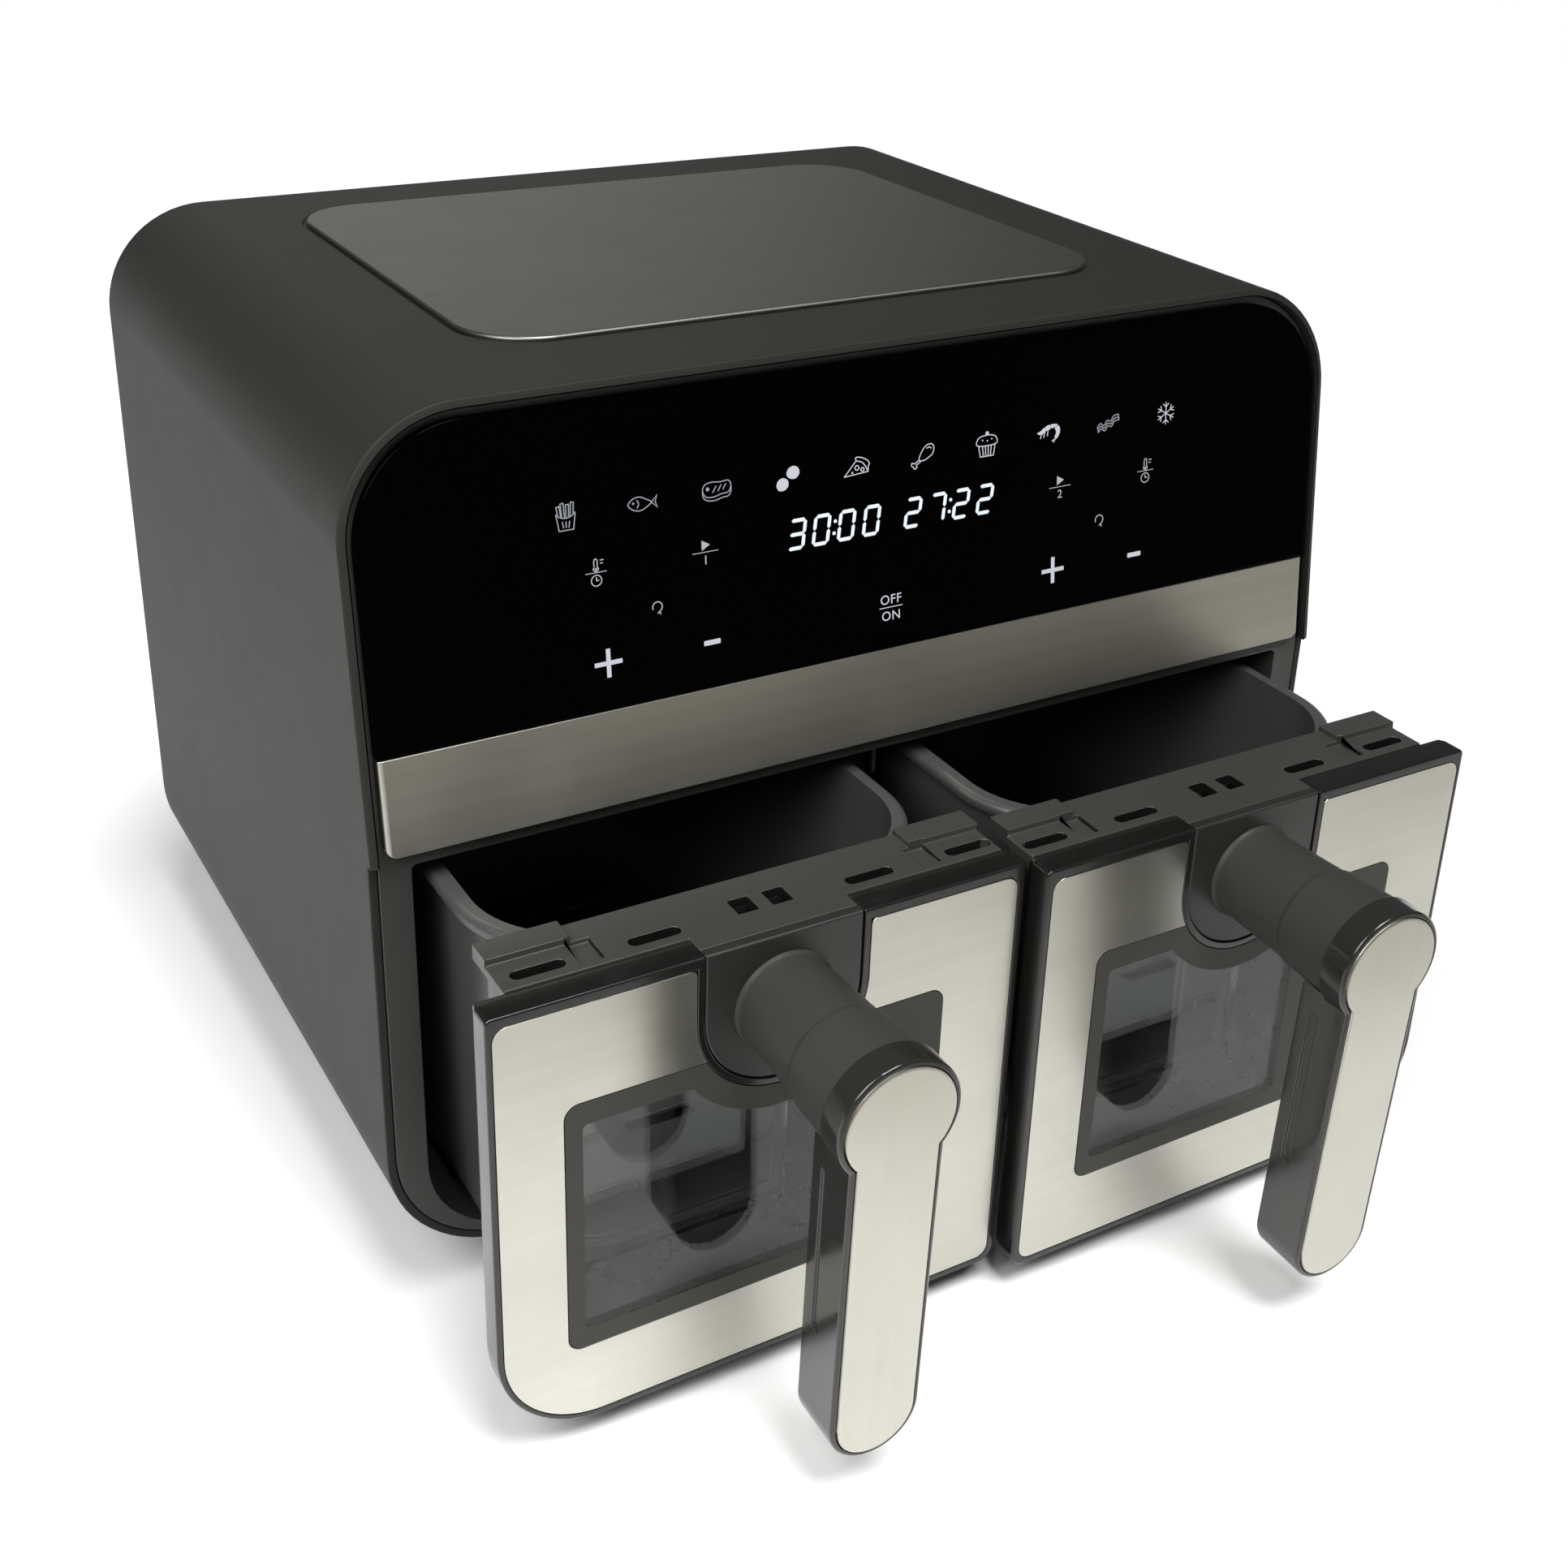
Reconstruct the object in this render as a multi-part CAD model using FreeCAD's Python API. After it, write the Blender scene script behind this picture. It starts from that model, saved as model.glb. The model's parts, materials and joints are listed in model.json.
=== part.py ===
"""Dual-basket air fryer: a housing with two pull-out drawers, crisper plates and two fans.

Units are millimetres, +Z is up, the front faces -Y and +X is to the viewer's right.
Pieces are modelled with y = 0 on the front face of the housing and z = 0 on the worktop.
Drawers are modelled closed and then pulled out to their rest place. The last step moves
everything along Y, so that the origin lies under the middle of the whole object's box.
"""
import FreeCAD, Part
import math
import os

V = FreeCAD.Vector

# ---- driving dimensions -------------------------------------------------------------
body_width = 380.0
body_depth = 288.0            # front face to the back edge of the shell
foot_height = 18.0            # worktop to the underside of the housing
body_height = 299.0           # underside to the top of the shell
shell_wall = 3.0
top_corner_r = 40.0
bottom_corner_r = 46.0
fit_gap = 0.2                 # between fixed pieces with curved faces
running_gap = 0.3             # between a moving piece and what it passes
shaft_bore_gap = 0.05

# upper front, leaning back
upper_height = 140.0          # leaning part's lower edge, the brow, to the top of the shell
brow_y = -3.0                 # how far it stands forward there
front_lean = 6.5              # degrees
lip_proud = 1.5               # shell rim in front of the panel
lip_chamfer_side = 2.0
lip_chamfer_depth = 6.5
panel_side_gap = 5.0          # panel and strip, from the shell's outside
panel_corner_r = 36.0
panel_thick = 3.0
panel_top_gap = 2.6           # panel edge to the shell's inner face at the top
panel_edge = 0.5
strip_low = 2.2               # up the slope from the brow to the strip
strip_height = 32.4
strip_thick = 1.2
strip_bend = 2.4
strip_corner_r = 5.0
panel_strip_gap = 0.4
bezel_wall = 4.0
board_side = 57.0             # touch board's end, from the panel's end
board_top_gap = 12.3          # board's upper edge to the panel's
board_thick = 1.6
board_low = 4.0
board_edge = 6.0              # how far the board overlaps the frame round its window
chip_size = 14.0
chip_height = 2.0
display_width = 92.0
display_height = 28.0
display_thick = 4.0

# front frame and its drawer opening
frame_depth = 25.0
opening_side = 11.0           # from the shell's inner face
opening_bottom = 24.0
opening_brow_gap = 3.0        # opening's top below the brow
opening_corner_r = 34.0
opening_top_r = 2.0
divider_half = 5.0
divider_depth = 8.0
divider_overlap = 6.0         # its foot and head, ahead of the frame's back

# top panel
top_panel_side = 65.5         # from the shell's side
top_panel_front = 56.5
top_panel_back = 31.5
top_panel_r = 26.0
top_panel_thick = 2.2
top_panel_proud = 1.2
top_panel_groove = 1.4
top_panel_edge = 0.7

# rear cover and its fixings
cover_thick = 3.0
cover_screws = 4              # on each side
cover_screw_low = 34.0        # lowest and highest, from the housing's underside and top
cover_screw_high = 55.0
cover_screw_side = 14.0       # from the shell's inner face
screw_r = 1.5
screw_length = 12.0
screw_head_r = 3.4
screw_head_height = 1.8
boss_r = 4.5
boss_length = 16.0
boss_web = 3.0
vent_rows = 9
vent_pitch = 9.0
vent_slot = 4.0
vent_half = 52.0
vent_brow_gap = 13.0          # lowest vent, above the brow
gland_barrel_r = 6.4
gland_flange_r = 10.0
gland_flange_thick = 2.2
gland_nut_r = 9.0
gland_nut_thick = 4.0
gland_thread = 2.0            # barrel showing behind the nut
gland_hole_r = 4.0
gland_height = 42.0           # above the housing's underside

# base and feet
base_side = 62.0              # base plate's edge, from the shell's side
base_thick = 3.0
base_flange = 6.0             # ledge each side, on top of the shell's floor
base_flange_thick = 2.0
base_vents = 7
base_vent_pitch = 16.0
base_vent_slot = 5.0
base_vent_half = 24.0
base_vent_x = 60.0
base_vent_y = 90.0
foot_radius = 11.0
foot_taper = 2.0
foot_stud_r = 7.0
foot_stud = 1.4               # part of each foot that sits in the base
foot_inset = 24.0             # from the base plate's edge
foot_front_y = 44.0
foot_back = 42.0

# cavities
cavity_side = 10.0            # from the shell's inner face
cavity_divider_gap = 2.0
cavity_rise = 53.0            # roof above the brow
cavity_back = 26.0            # rear wall to the back edge of the shell
cavity_wall = 1.0
cavity_corner_r = 14.0
cavity_low_r = 34.0           # outer lower corner, following the shell
heater_drop = 38.0            # coil below the roof
heater_tube_r = 3.2
heater_outer_r = 60.0
heater_pitch = 13.0
heater_half_turns = 5
heater_leg_r = 2.6
heater_leg_rise = 12.0        # above the roof
heater_lead_rise = 7.5        # the inner end crosses above the coil
heater_lead_out = 6.0         # and goes up this far outside it
guard_drop = 12.0             # below the coil
guard_wire_r = 1.4
guard_spoke_r = 1.2
guard_side_gap = 3.6          # coil to the hangers outside it
guard_inner_r = 30.0
guard_hub_r = 10.0
shaft_r = 3.0
hub_wall = 4.0
cooking_fan_r = 56.0
cooking_fan_rise = 14.0       # above the coil
cooking_fan_blade = 12.0
cooling_fan_r = 40.0
cooling_fan_blade = 9.0
cooling_fan_gap = 2.0
fan_blades = 8
fan_plate = 1.2
blade_half = 0.6
blade_turn = 24.0             # degrees
shaft_end = 5.0
motor_r = 30.0
motor_height = 30.0
motor_rise = 14.0             # above the roof
motor_ear = 9.0
motor_edge_r = 3.0
bracket_thick = 1.5
bracket_half = 46.0
bracket_half_depth = 16.0
bracket_leg_half = 12.0
power_board_half = 70.0
power_board_back = 20.5       # board's rear edge to the cavity's
power_board_gap = 6.0         # from the motors
power_board_rise = 4.0
relay_height = 22.0
transformer_height = 18.0
capacitor_height = 20.0
capacitor_share = 0.13        # radius, as a share of the board's depth
power_post_r = 3.0
power_post_inset = 8.0

# drawers
left_pull = 70.0
right_pull = 78.0
closed_gap = 0.5
front_thick = 11.0
front_side = 4.7              # outer edge, from the shell's side
front_inner = 1.2             # inner edge, from the middle
front_bottom = 10.0
front_top_gap = 3.6           # below the opening's top
front_low_r = 36.0
front_small_r = 6.0
front_skin = 2.2
front_face_wall = 3.2
front_edge_r = 0.9            # round the face's outline
hood_dip = 0.7                # fall of the front's top towards the cap
hood_dip_width = 3.0
plate_thick = 0.8
plate_side = 1.8              # black rim outside the steel plate
plate_inner_side = 2.6
plate_low = 2.5
plate_high = 3.6
plate_low_r = 33.0
plate_small_r = 5.0
cap_depth = 24.0
cap_thick = 3.4
cap_side_gap = 1.0            # to the opening's side
cap_inner = 3.0
cap_skirt = 16.0
cap_skirt_wall = 1.6
cap_slot_pitch = 37.4
cap_slot_length = 17.0
cap_slot_width = 4.2
cap_slot_y = 5.5
cap_slot_shift = 1.8          # row of slots, towards the middle of the machine
cap_clip_slot = 7.0
cap_clip_gap = 5.0
cap_pocket_width = 7.6        # pockets between the slots
cap_pocket_front = 2.5
cap_pocket_length = 11.5
cap_pocket_deep = 1.6
cap_pocket_place = 58.9       # from the middle of the row
tongue_thick = 2.4            # tongue between the cap and the bib
cap_block_length = 27.0
cap_block_rise = 2.2
cap_block_depth = 10.0

window_from_plate = 21.5      # plate's left edge to the window's left edge
window_to_plate = 26.7        # window's right edge to the plate's right edge
window_above_bottom = 30.0
window_below_top = 37.9
window_r = 5.0
window_thick = 3.0
clear_left = 5.6              # printed border, left
clear_right = 42.0            # printed border, right
clear_low = 7.0
clear_high = 8.0
clear_bib_gap = 10.8          # border round the bib
tunnel_bore = 1.5             # surround's inside, beyond the clear part
tunnel_wall = 2.5
inner_glass_thick = 3.0

handle_shift = 4.25           # handle's axis, from the middle of the front
handle_below_top = 23.9
bib_half = 27.2
bib_gap = 2.8                 # bib to the steel plate, filled by the front's rim
bib_thick = 4.0
bib_sink = 0.2                # bib face behind the plate's face
bib_edge = 0.6
neck_base_r = 16.4
neck_mid_r = 17.6
neck_head_r = 19.4
neck_ring = 0.8
neck_foot = 1.2
neck_soft_r = 2.5             # both sides of the ring
neck_step_share = 0.62        # of the neck's length, from the bib
handle_reach = 65.5           # steel plate to the face of the grip
grip_head_r = 20.4
grip_half = 15.6
grip_above_bottom = 8.5       # lower end of the grip, above the front's lower edge
grip_thick = 20.0
grip_edge_r = 1.2
grip_groove_deep = 0.9
grip_groove_width = 3.5
grip_groove_back = 5.0
grip_groove_drop = 21.5       # below the handle's axis
grip_groove_length = 60.0
collar_depth = 10.0
insert_margin = 1.9
insert_thick = 1.4
insert_proud = 0.5
insert_bevel = 0.45
handle_tilt = 2.0             # degrees, lower end nearer the drawer

pot_side_gap = 7.0            # rim to the opening's side
pot_divider_gap = 6.0
pot_front = 14.0
pot_back_gap = 21.0           # rim to the cavity's rear wall
pot_corner_r = 40.0
pot_bottom = 26.0
pot_wall = 1.2
pot_draft = 4.0               # narrowing of each side from rim to bottom
pot_bottom_r = 14.0
rim_width = 4.6
rim_height = 5.6
rim_flat = 0.5                # left between the rim's two rounded edges
rail_width_gap = 0.8
rail_thick = 2.0
rail_web = 1.5
rail_height = 12.0

crisper_gap = 3.2             # plate edge to pot wall
crisper_rise = 18.0
crisper_thick = 2.0
crisper_rows = 7
crisper_slots = 3
crisper_slot_half = 3.0
crisper_slot_space = 10.0
crisper_border = 14.0
crisper_end = 20.0
crisper_leg_r = 3.5
crisper_leg_x = 40.0
crisper_leg_y = 72.0
bumper_size = 12.0
bumper_low = 3.5              # below the plate's underside
bumper_high = 2.0
bumper_spread = 55.0

# ---- places that follow from them ---------------------------------------------------
sides = {"left": -1, "right": 1}
pull = {"left": left_pull, "right": right_pull}
far = 2 * (body_width + body_depth + body_height)
body_top = foot_height + body_height
body_half = body_width / 2
brow_z = body_top - upper_height
inner_half = body_half - shell_wall
base_floor = foot_height + shell_wall + base_flange_thick
lean_slope = math.tan(math.radians(front_lean))
lean_cos = math.cos(math.radians(front_lean))
slope_length = (body_top - brow_z) / lean_cos
panel_half = body_half - panel_side_gap
panel_low = strip_low + strip_height + panel_strip_gap
panel_high = slope_length - shell_wall - panel_top_gap
board_half = panel_half - board_side
board_height = panel_high - panel_low - board_low - board_top_gap
opening_half = inner_half - opening_side
opening_top = brow_z - opening_brow_gap
top_panel_half = body_half - top_panel_side
top_panel_length = body_depth - top_panel_front - top_panel_back
base_half = body_half - base_side
foot_x = base_half - foot_inset
foot_rear_y = body_depth - foot_back
gland_z = foot_height + gland_height

cavity_outer = inner_half - cavity_side
cavity_inner = divider_half + cavity_divider_gap
cavity_width = cavity_outer - cavity_inner
cavity_x = (cavity_outer + cavity_inner) / 2
cavity_rear = body_depth - cavity_back
cavity_top = brow_z + cavity_rise
fan_y = (frame_depth + cavity_rear) / 2
heater_z = cavity_top - heater_drop
heater_lead_y = heater_outer_r + heater_lead_out
guard_z = heater_z - guard_drop
guard_outer_r = heater_outer_r + heater_tube_r + guard_side_gap + guard_spoke_r
cooking_fan_z = heater_z + cooking_fan_rise
motor_bottom = cavity_top + motor_rise
cooling_fan_z = motor_bottom + motor_height + cooling_fan_gap
power_board_front = fan_y + motor_r + power_board_gap
power_board_depth = cavity_rear - power_board_back - power_board_front

front_outer = body_half - front_side
front_face = -front_thick - closed_gap
front_top = opening_top - front_top_gap
rim_top = front_top - cap_thick
plate_width = front_outer - plate_side - front_inner - plate_inner_side
window_width = plate_width - window_from_plate - window_to_plate
window_low = front_bottom + window_above_bottom
window_high = front_top - window_below_top
cap_outer = opening_half - cap_side_gap
cap_slot_centre = (cap_outer + cap_inner) / 2 - cap_slot_shift
handle_x = (front_outer + front_inner) / 2 - handle_shift
handle_z = front_top - handle_below_top
handle_tip = front_face - handle_reach
head_back = handle_tip + insert_proud + collar_depth
grip_low = front_bottom + grip_above_bottom
pot_outer = opening_half - pot_side_gap
pot_inner = divider_half + pot_divider_gap
pot_centre = (pot_outer + pot_inner) / 2
pot_half = (pot_outer - pot_inner) / 2
pot_rear = cavity_rear - cavity_wall - pot_back_gap
pot_length = pot_rear - pot_front
pot_middle = (pot_front + pot_rear) / 2
rail_top = rim_top - rim_height - running_gap
crisper_z = pot_bottom + crisper_rise

rear_face = body_depth + gland_flange_thick
crown_lean = (grip_head_r - insert_margin - insert_bevel) * math.sin(math.radians(handle_tilt))
reach_forward = -handle_tip + crown_lean + max(left_pull, right_pull)
middle_y = (rear_face - reach_forward) / 2


# ---- shape helpers ------------------------------------------------------------------
def rounded_wire(u0, u1, v0, v1, radii, place):
    """Closed outline with corner radii (low u low v, high u low v, high u high v, low u high v)."""
    a, b, c, d = [max(r, 1e-3) for r in radii]
    h = math.sqrt(0.5)

    def arc(cu, cv, r, s0, s1, sm):
        pts = [place(cu + r * s[0], cv + r * s[1]) for s in (s0, sm, s1)]
        return Part.Arc(*pts).toShape()

    corners = [
        (arc(u0 + a, v0 + a, a, (-1, 0), (0, -1), (-h, -h)), radii[0], (u0, v0)),
        (arc(u1 - b, v0 + b, b, (0, -1), (1, 0), (h, -h)), radii[1], (u1, v0)),
        (arc(u1 - c, v1 - c, c, (1, 0), (0, 1), (h, h)), radii[2], (u1, v1)),
        (arc(u0 + d, v1 - d, d, (0, 1), (-1, 0), (-h, h)), radii[3], (u0, v1)),
    ]
    ends = []
    edges = []
    for edge, r, (cu, cv) in corners:
        if r > 0:
            ends.append((edge.Vertexes[0].Point, edge.Vertexes[-1].Point, edge))
        else:
            ends.append((place(cu, cv), place(cu, cv), None))
    for i, (start, stop, edge) in enumerate(ends):
        if edge is not None:
            edges.append(edge)
        following = ends[(i + 1) % 4][0]
        if stop.distanceToPoint(following) > 1e-6:
            edges.append(Part.makeLine(stop, following))
    return Part.Wire(edges)


def upright(x0, x1, z0, z1, radii, y0, y1):
    """Prism along Y with a rounded outline in the XZ plane."""
    wire = rounded_wire(x0, x1, z0, z1, radii, lambda u, w: V(u, y0, w))
    return Part.Face(wire).extrude(V(0, y1 - y0, 0))


def flat(x0, x1, y0, y1, r, z0, z1):
    """Slab with rounded corners seen from above."""
    wire = rounded_wire(x0, x1, y0, y1, (r, r, r, r), lambda u, w: V(u, w, z0))
    return Part.Face(wire).extrude(V(0, 0, z1 - z0))


def box(x0, x1, y0, y1, z0, z1):
    return Part.makeBox(x1 - x0, y1 - y0, z1 - z0, V(x0, y0, z0))


def post(x, y, z0, z1, r):
    return Part.makeCylinder(r, z1 - z0, V(x, y, z0))


def along_y(x, z, y0, y1, r):
    return Part.makeCylinder(r, y1 - y0, V(x, y0, z), V(0, 1, 0))


def fused(shapes):
    first = shapes[0]
    return first.fuse(shapes[1:]).removeSplitter() if len(shapes) > 1 else first


def lean(shape):
    """Turn a piece built upright at the brow back onto the leaning front."""
    turned = shape.copy()
    turned.rotate(V(0, brow_y, brow_z), V(1, 0, 0), -front_lean)
    return turned


def ahead_of_lean(offset):
    """Everything in front of the leaning plane, moved back by offset."""
    block = box(-far, far, brow_y - far, brow_y + offset, brow_z - strip_height, brow_z + far)
    return lean(block)


def edges_where(shape, test):
    return [e for e in shape.Edges if test(e)]


def housing_outline(inset, y0, y1):
    r_top = top_corner_r - inset
    r_low = bottom_corner_r - inset
    return upright(-body_half + inset, body_half - inset, foot_height + inset, body_top - inset,
                   (r_low, r_low, r_top, r_top), y0, y1)


# ---- housing ------------------------------------------------------------------------
def outer_shell():
    front_reach = brow_y - lip_proud - 5
    shell = housing_outline(0, front_reach, body_depth)
    shell = shell.cut(box(-far, far, front_reach - 1, 0, 0, brow_z))
    shell = shell.cut(ahead_of_lean(-lip_proud))

    def is_lip(edge):
        mid = edge.valueAt((edge.FirstParameter + edge.LastParameter) / 2)
        plane_y = brow_y + (mid.z - brow_z) * lean_slope - lip_proud / lean_cos
        return abs(mid.y - plane_y) < 0.05 and mid.z > brow_z + 1

    shell = shell.makeChamfer(lip_chamfer_side, lip_chamfer_depth, edges_where(shell, is_lip))
    shell = shell.cut(housing_outline(shell_wall, front_reach - 1, body_depth + 1))
    half = base_half + fit_gap
    shell = shell.cut(box(-half, half, frame_depth, body_depth + 1, foot_height - 1, base_floor))
    seat = top_panel_thick - top_panel_proud
    half = top_panel_half + top_panel_groove
    rear = top_panel_front + top_panel_length + top_panel_groove
    shell = shell.cut(flat(-half, half, top_panel_front - top_panel_groove, rear,
                           top_panel_r + top_panel_groove, body_top - seat, body_top + 1))
    bosses = []
    for x, z in rear_screw_places():
        wall = math.copysign(body_half - shell_wall / 2, x)
        boss = along_y(x, z, body_depth - cover_thick - boss_length, body_depth - cover_thick, boss_r)
        web = box(min(x, wall), max(x, wall), body_depth - cover_thick - boss_length,
                  body_depth - cover_thick, z - boss_web / 2, z + boss_web / 2)
        bosses.append(boss.fuse(web).common(housing_outline(shell_wall / 2, 0, body_depth)))
    shell = fused([shell] + bosses)
    return shell.cut(Part.makeCompound([along_y(x, z, 0, body_depth, screw_r + shaft_bore_gap)
                                        for x, z in rear_screw_places()]))


def rear_screw_places():
    x = inner_half - cover_screw_side
    low = foot_height + cover_screw_low
    step = (body_top - cover_screw_high - low) / (cover_screws - 1)
    return [(side * x, low + k * step) for side in sides.values() for k in range(cover_screws)]


def top_panel():
    z1 = body_top + top_panel_proud
    plate = flat(-top_panel_half, top_panel_half, top_panel_front, top_panel_front + top_panel_length,
                 top_panel_r, z1 - top_panel_thick, z1)
    rim = edges_where(plate, lambda e: abs(e.BoundBox.ZMin - z1) < 1e-3)
    return plate.makeChamfer(top_panel_edge, rim)


def front_frame():
    outer = housing_outline(shell_wall + fit_gap, brow_y - frame_depth, frame_depth)
    frame = outer.cut(box(-far, far, -far, 0, 0, brow_z))
    frame = frame.cut(ahead_of_lean(panel_thick + fit_gap))
    radii = (opening_corner_r, opening_corner_r, opening_top_r, opening_top_r)
    frame = frame.cut(upright(-opening_half, opening_half, opening_bottom, opening_top, radii,
                              -1, frame_depth + 1))
    # hollow behind the panel, open to the back
    inset = shell_wall + fit_gap + bezel_wall
    hollow = housing_outline(inset, brow_y - frame_depth, frame_depth + 1)
    hollow = hollow.cut(box(-far, far, -far, far, 0, brow_z + bezel_wall))
    hollow = hollow.cut(ahead_of_lean(panel_thick + fit_gap + bezel_wall))
    frame = frame.cut(hollow)
    # window for the board and displays
    low = panel_low + board_low
    edge = board_edge
    sight = box(-board_half + edge, board_half - edge, brow_y, frame_depth, brow_z + low + edge,
                brow_z + low + board_height - edge)
    frame = frame.cut(lean(sight))
    # post between the two drawer bays, behind the drawers' caps
    d = divider_half
    top = brow_z + bezel_wall
    divider = box(-d, d, frame_depth, frame_depth + divider_depth, base_floor, top)
    foot = box(-d, d, frame_depth - divider_overlap, frame_depth, base_floor, opening_bottom)
    head = box(-d, d, frame_depth - divider_overlap, frame_depth, opening_top, top)
    return fused([frame, divider, foot, head])


def control_panel():
    z0 = brow_z + panel_low
    z1 = brow_z + panel_high
    r = panel_corner_r
    glass = upright(-panel_half, panel_half, z0, z1, (1.5, 1.5, r, r), brow_y, brow_y + panel_thick)
    rim = edges_where(glass, lambda e: abs(e.BoundBox.YMax - brow_y) < 1e-3)
    return lean(glass.makeChamfer(panel_edge, rim))


def channel(half, front, back, r, z0, z1):
    """Prism with a flat front face and rounded front corners, seen from above."""
    h = math.sqrt(0.5)
    arcs = [Part.Arc(V(-half, front + r, z0), V(-half + r - r * h, front + r - r * h, z0),
                     V(-half + r, front, z0)).toShape(),
            Part.Arc(V(half - r, front, z0), V(half - r + r * h, front + r - r * h, z0),
                     V(half, front + r, z0)).toShape()]
    outline = Part.Wire([Part.makeLine(V(-half, back, z0), V(-half, front + r, z0)), arcs[0],
                         Part.makeLine(V(-half + r, front, z0), V(half - r, front, z0)), arcs[1],
                         Part.makeLine(V(half, front + r, z0), V(half, back, z0)),
                         Part.makeLine(V(half, back, z0), V(-half, back, z0))])
    return Part.Face(outline).extrude(V(0, 0, z1 - z0))


def steel_strip():
    """Brushed strip with both ends turned back."""
    z0 = brow_z + strip_low
    z1 = z0 + strip_height
    back = brow_y + panel_thick
    skin = channel(panel_half, brow_y, back, strip_bend, z0, z1)
    t = strip_thick
    core = channel(panel_half - t, brow_y + t, back + 1, strip_bend - t, z0, z1)
    r = strip_corner_r
    keep = upright(-panel_half, panel_half, z0, z1, (r, r, 0, 0), brow_y - 1, back + 1)
    return lean(skin.cut(core).common(keep))


def board_place():
    """Lower edge and front face of the board, before the lean."""
    return brow_z + panel_low + board_low, brow_y + panel_thick + bezel_wall + 2 * fit_gap


def touch_board():
    z0, y0 = board_place()
    board = box(-board_half, board_half, y0, y0 + board_thick, z0, z0 + board_height)
    y1 = y0 + board_thick
    z1 = z0 + board_height / 2
    chips = [box(x - chip_size / 2, x + chip_size / 2, y1, y1 + chip_height, z1 - chip_size, z1)
             for x in (-board_half / 2, board_half / 4)]
    return lean(fused([board] + chips))


def display_module():
    z0, y0 = board_place()
    middle = z0 + board_height / 2
    body = box(-display_width / 2, display_width / 2, y0 - display_thick, y0,
               middle - display_height / 2, middle + display_height / 2)
    edge = edges_where(body, lambda e: abs(e.BoundBox.YMax - (y0 - display_thick)) < 1e-3)
    return lean(body.makeChamfer(0.6, edge))


def power_board():
    """Board on four posts, with its relays, transformer and two tall capacitors."""
    z0 = cavity_top + power_board_rise
    z1 = z0 + board_thick
    y0 = power_board_front
    half = power_board_half
    deep = power_board_depth
    parts = [box(-half, half, y0, y0 + deep, z0, z1)]
    for x, w, d, h in ((-0.8, 0.43, 0.42, relay_height), (-0.23, 0.23, 0.32, transformer_height),
                       (0.17, 0.23, 0.32, transformer_height)):
        parts.append(box(x * half, (x + w) * half, y0 + deep * 0.15, y0 + deep * (0.15 + d), z1, z1 + h))
    for y in (0.26, 0.65):
        parts.append(post(half * 0.66, y0 + deep * y, z1, z1 + capacitor_height, deep * capacitor_share))
    inset = power_post_inset
    for x in (-half + inset, half - inset):
        for y in (y0 + inset, y0 + deep - inset):
            parts.append(post(x, y, cavity_top, z0, power_post_r))
    return fused(parts)


def rear_cover():
    inset = shell_wall + fit_gap
    cover = housing_outline(inset, body_depth - cover_thick, body_depth)
    half = base_half + base_flange + fit_gap
    cover = cover.cut(box(-half, half, 0, far, 0, base_floor + fit_gap))
    y0, y1 = body_depth - 2 * cover_thick, body_depth + 1
    cuts = []
    for side in sides.values():
        for row in range(vent_rows):
            z = brow_z + vent_brow_gap + row * vent_pitch
            x = side * cavity_x
            cuts.append(box(x - vent_half, x + vent_half, y0, y1, z, z + vent_slot))
    for x, z in rear_screw_places():
        cuts.append(along_y(x, z, y0, y1, screw_r + shaft_bore_gap))
    cuts.append(along_y(0, gland_z, y0, y1, gland_barrel_r + shaft_bore_gap))
    return cover.cut(Part.makeCompound(cuts))


def cord_gland():
    """Bush through the rear cover, held by a nut inside."""
    inside = body_depth - cover_thick
    flange = along_y(0, gland_z, body_depth, body_depth + gland_flange_thick, gland_flange_r)
    barrel = along_y(0, gland_z, inside - gland_nut_thick - gland_thread, body_depth, gland_barrel_r)
    nut = along_y(0, gland_z, inside - gland_nut_thick, inside, gland_nut_r)
    bush = fused([flange, barrel, nut])
    return bush.cut(along_y(0, gland_z, 0, far, gland_hole_r))


def foot_places():
    return [(side * foot_x, y) for side in sides.values() for y in (foot_front_y, foot_rear_y)]


def base_plate():
    z0 = foot_height
    y0 = frame_depth + fit_gap
    plate = flat(-base_half, base_half, y0, body_depth, 2, z0, z0 + base_thick)
    wide = base_half + base_flange
    ledge = flat(-wide, wide, y0, body_depth, 2, z0 + shell_wall, base_floor)
    plate = fused([plate, ledge])
    cuts = []
    for side in sides.values():
        for i in range(base_vents):
            y = base_vent_y + i * base_vent_pitch
            x = side * base_vent_x
            cuts.append(box(x - base_vent_half, x + base_vent_half, y, y + base_vent_slot,
                            z0 - 1, base_floor + 1))
    for x, y in foot_places():
        cuts.append(post(x, y, z0 - 1, z0 + foot_stud + fit_gap, foot_stud_r + fit_gap))
    return plate.cut(Part.makeCompound(cuts))


def rubber_feet():
    feet = []
    for x, y in foot_places():
        pad = Part.makeCone(foot_radius, foot_radius - foot_taper, foot_height, V(x, y, foot_height),
                            V(0, 0, -1))
        feet.append(pad.fuse(post(x, y, foot_height, foot_height + foot_stud, foot_stud_r)).removeSplitter())
    return Part.makeCompound(feet)


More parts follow.
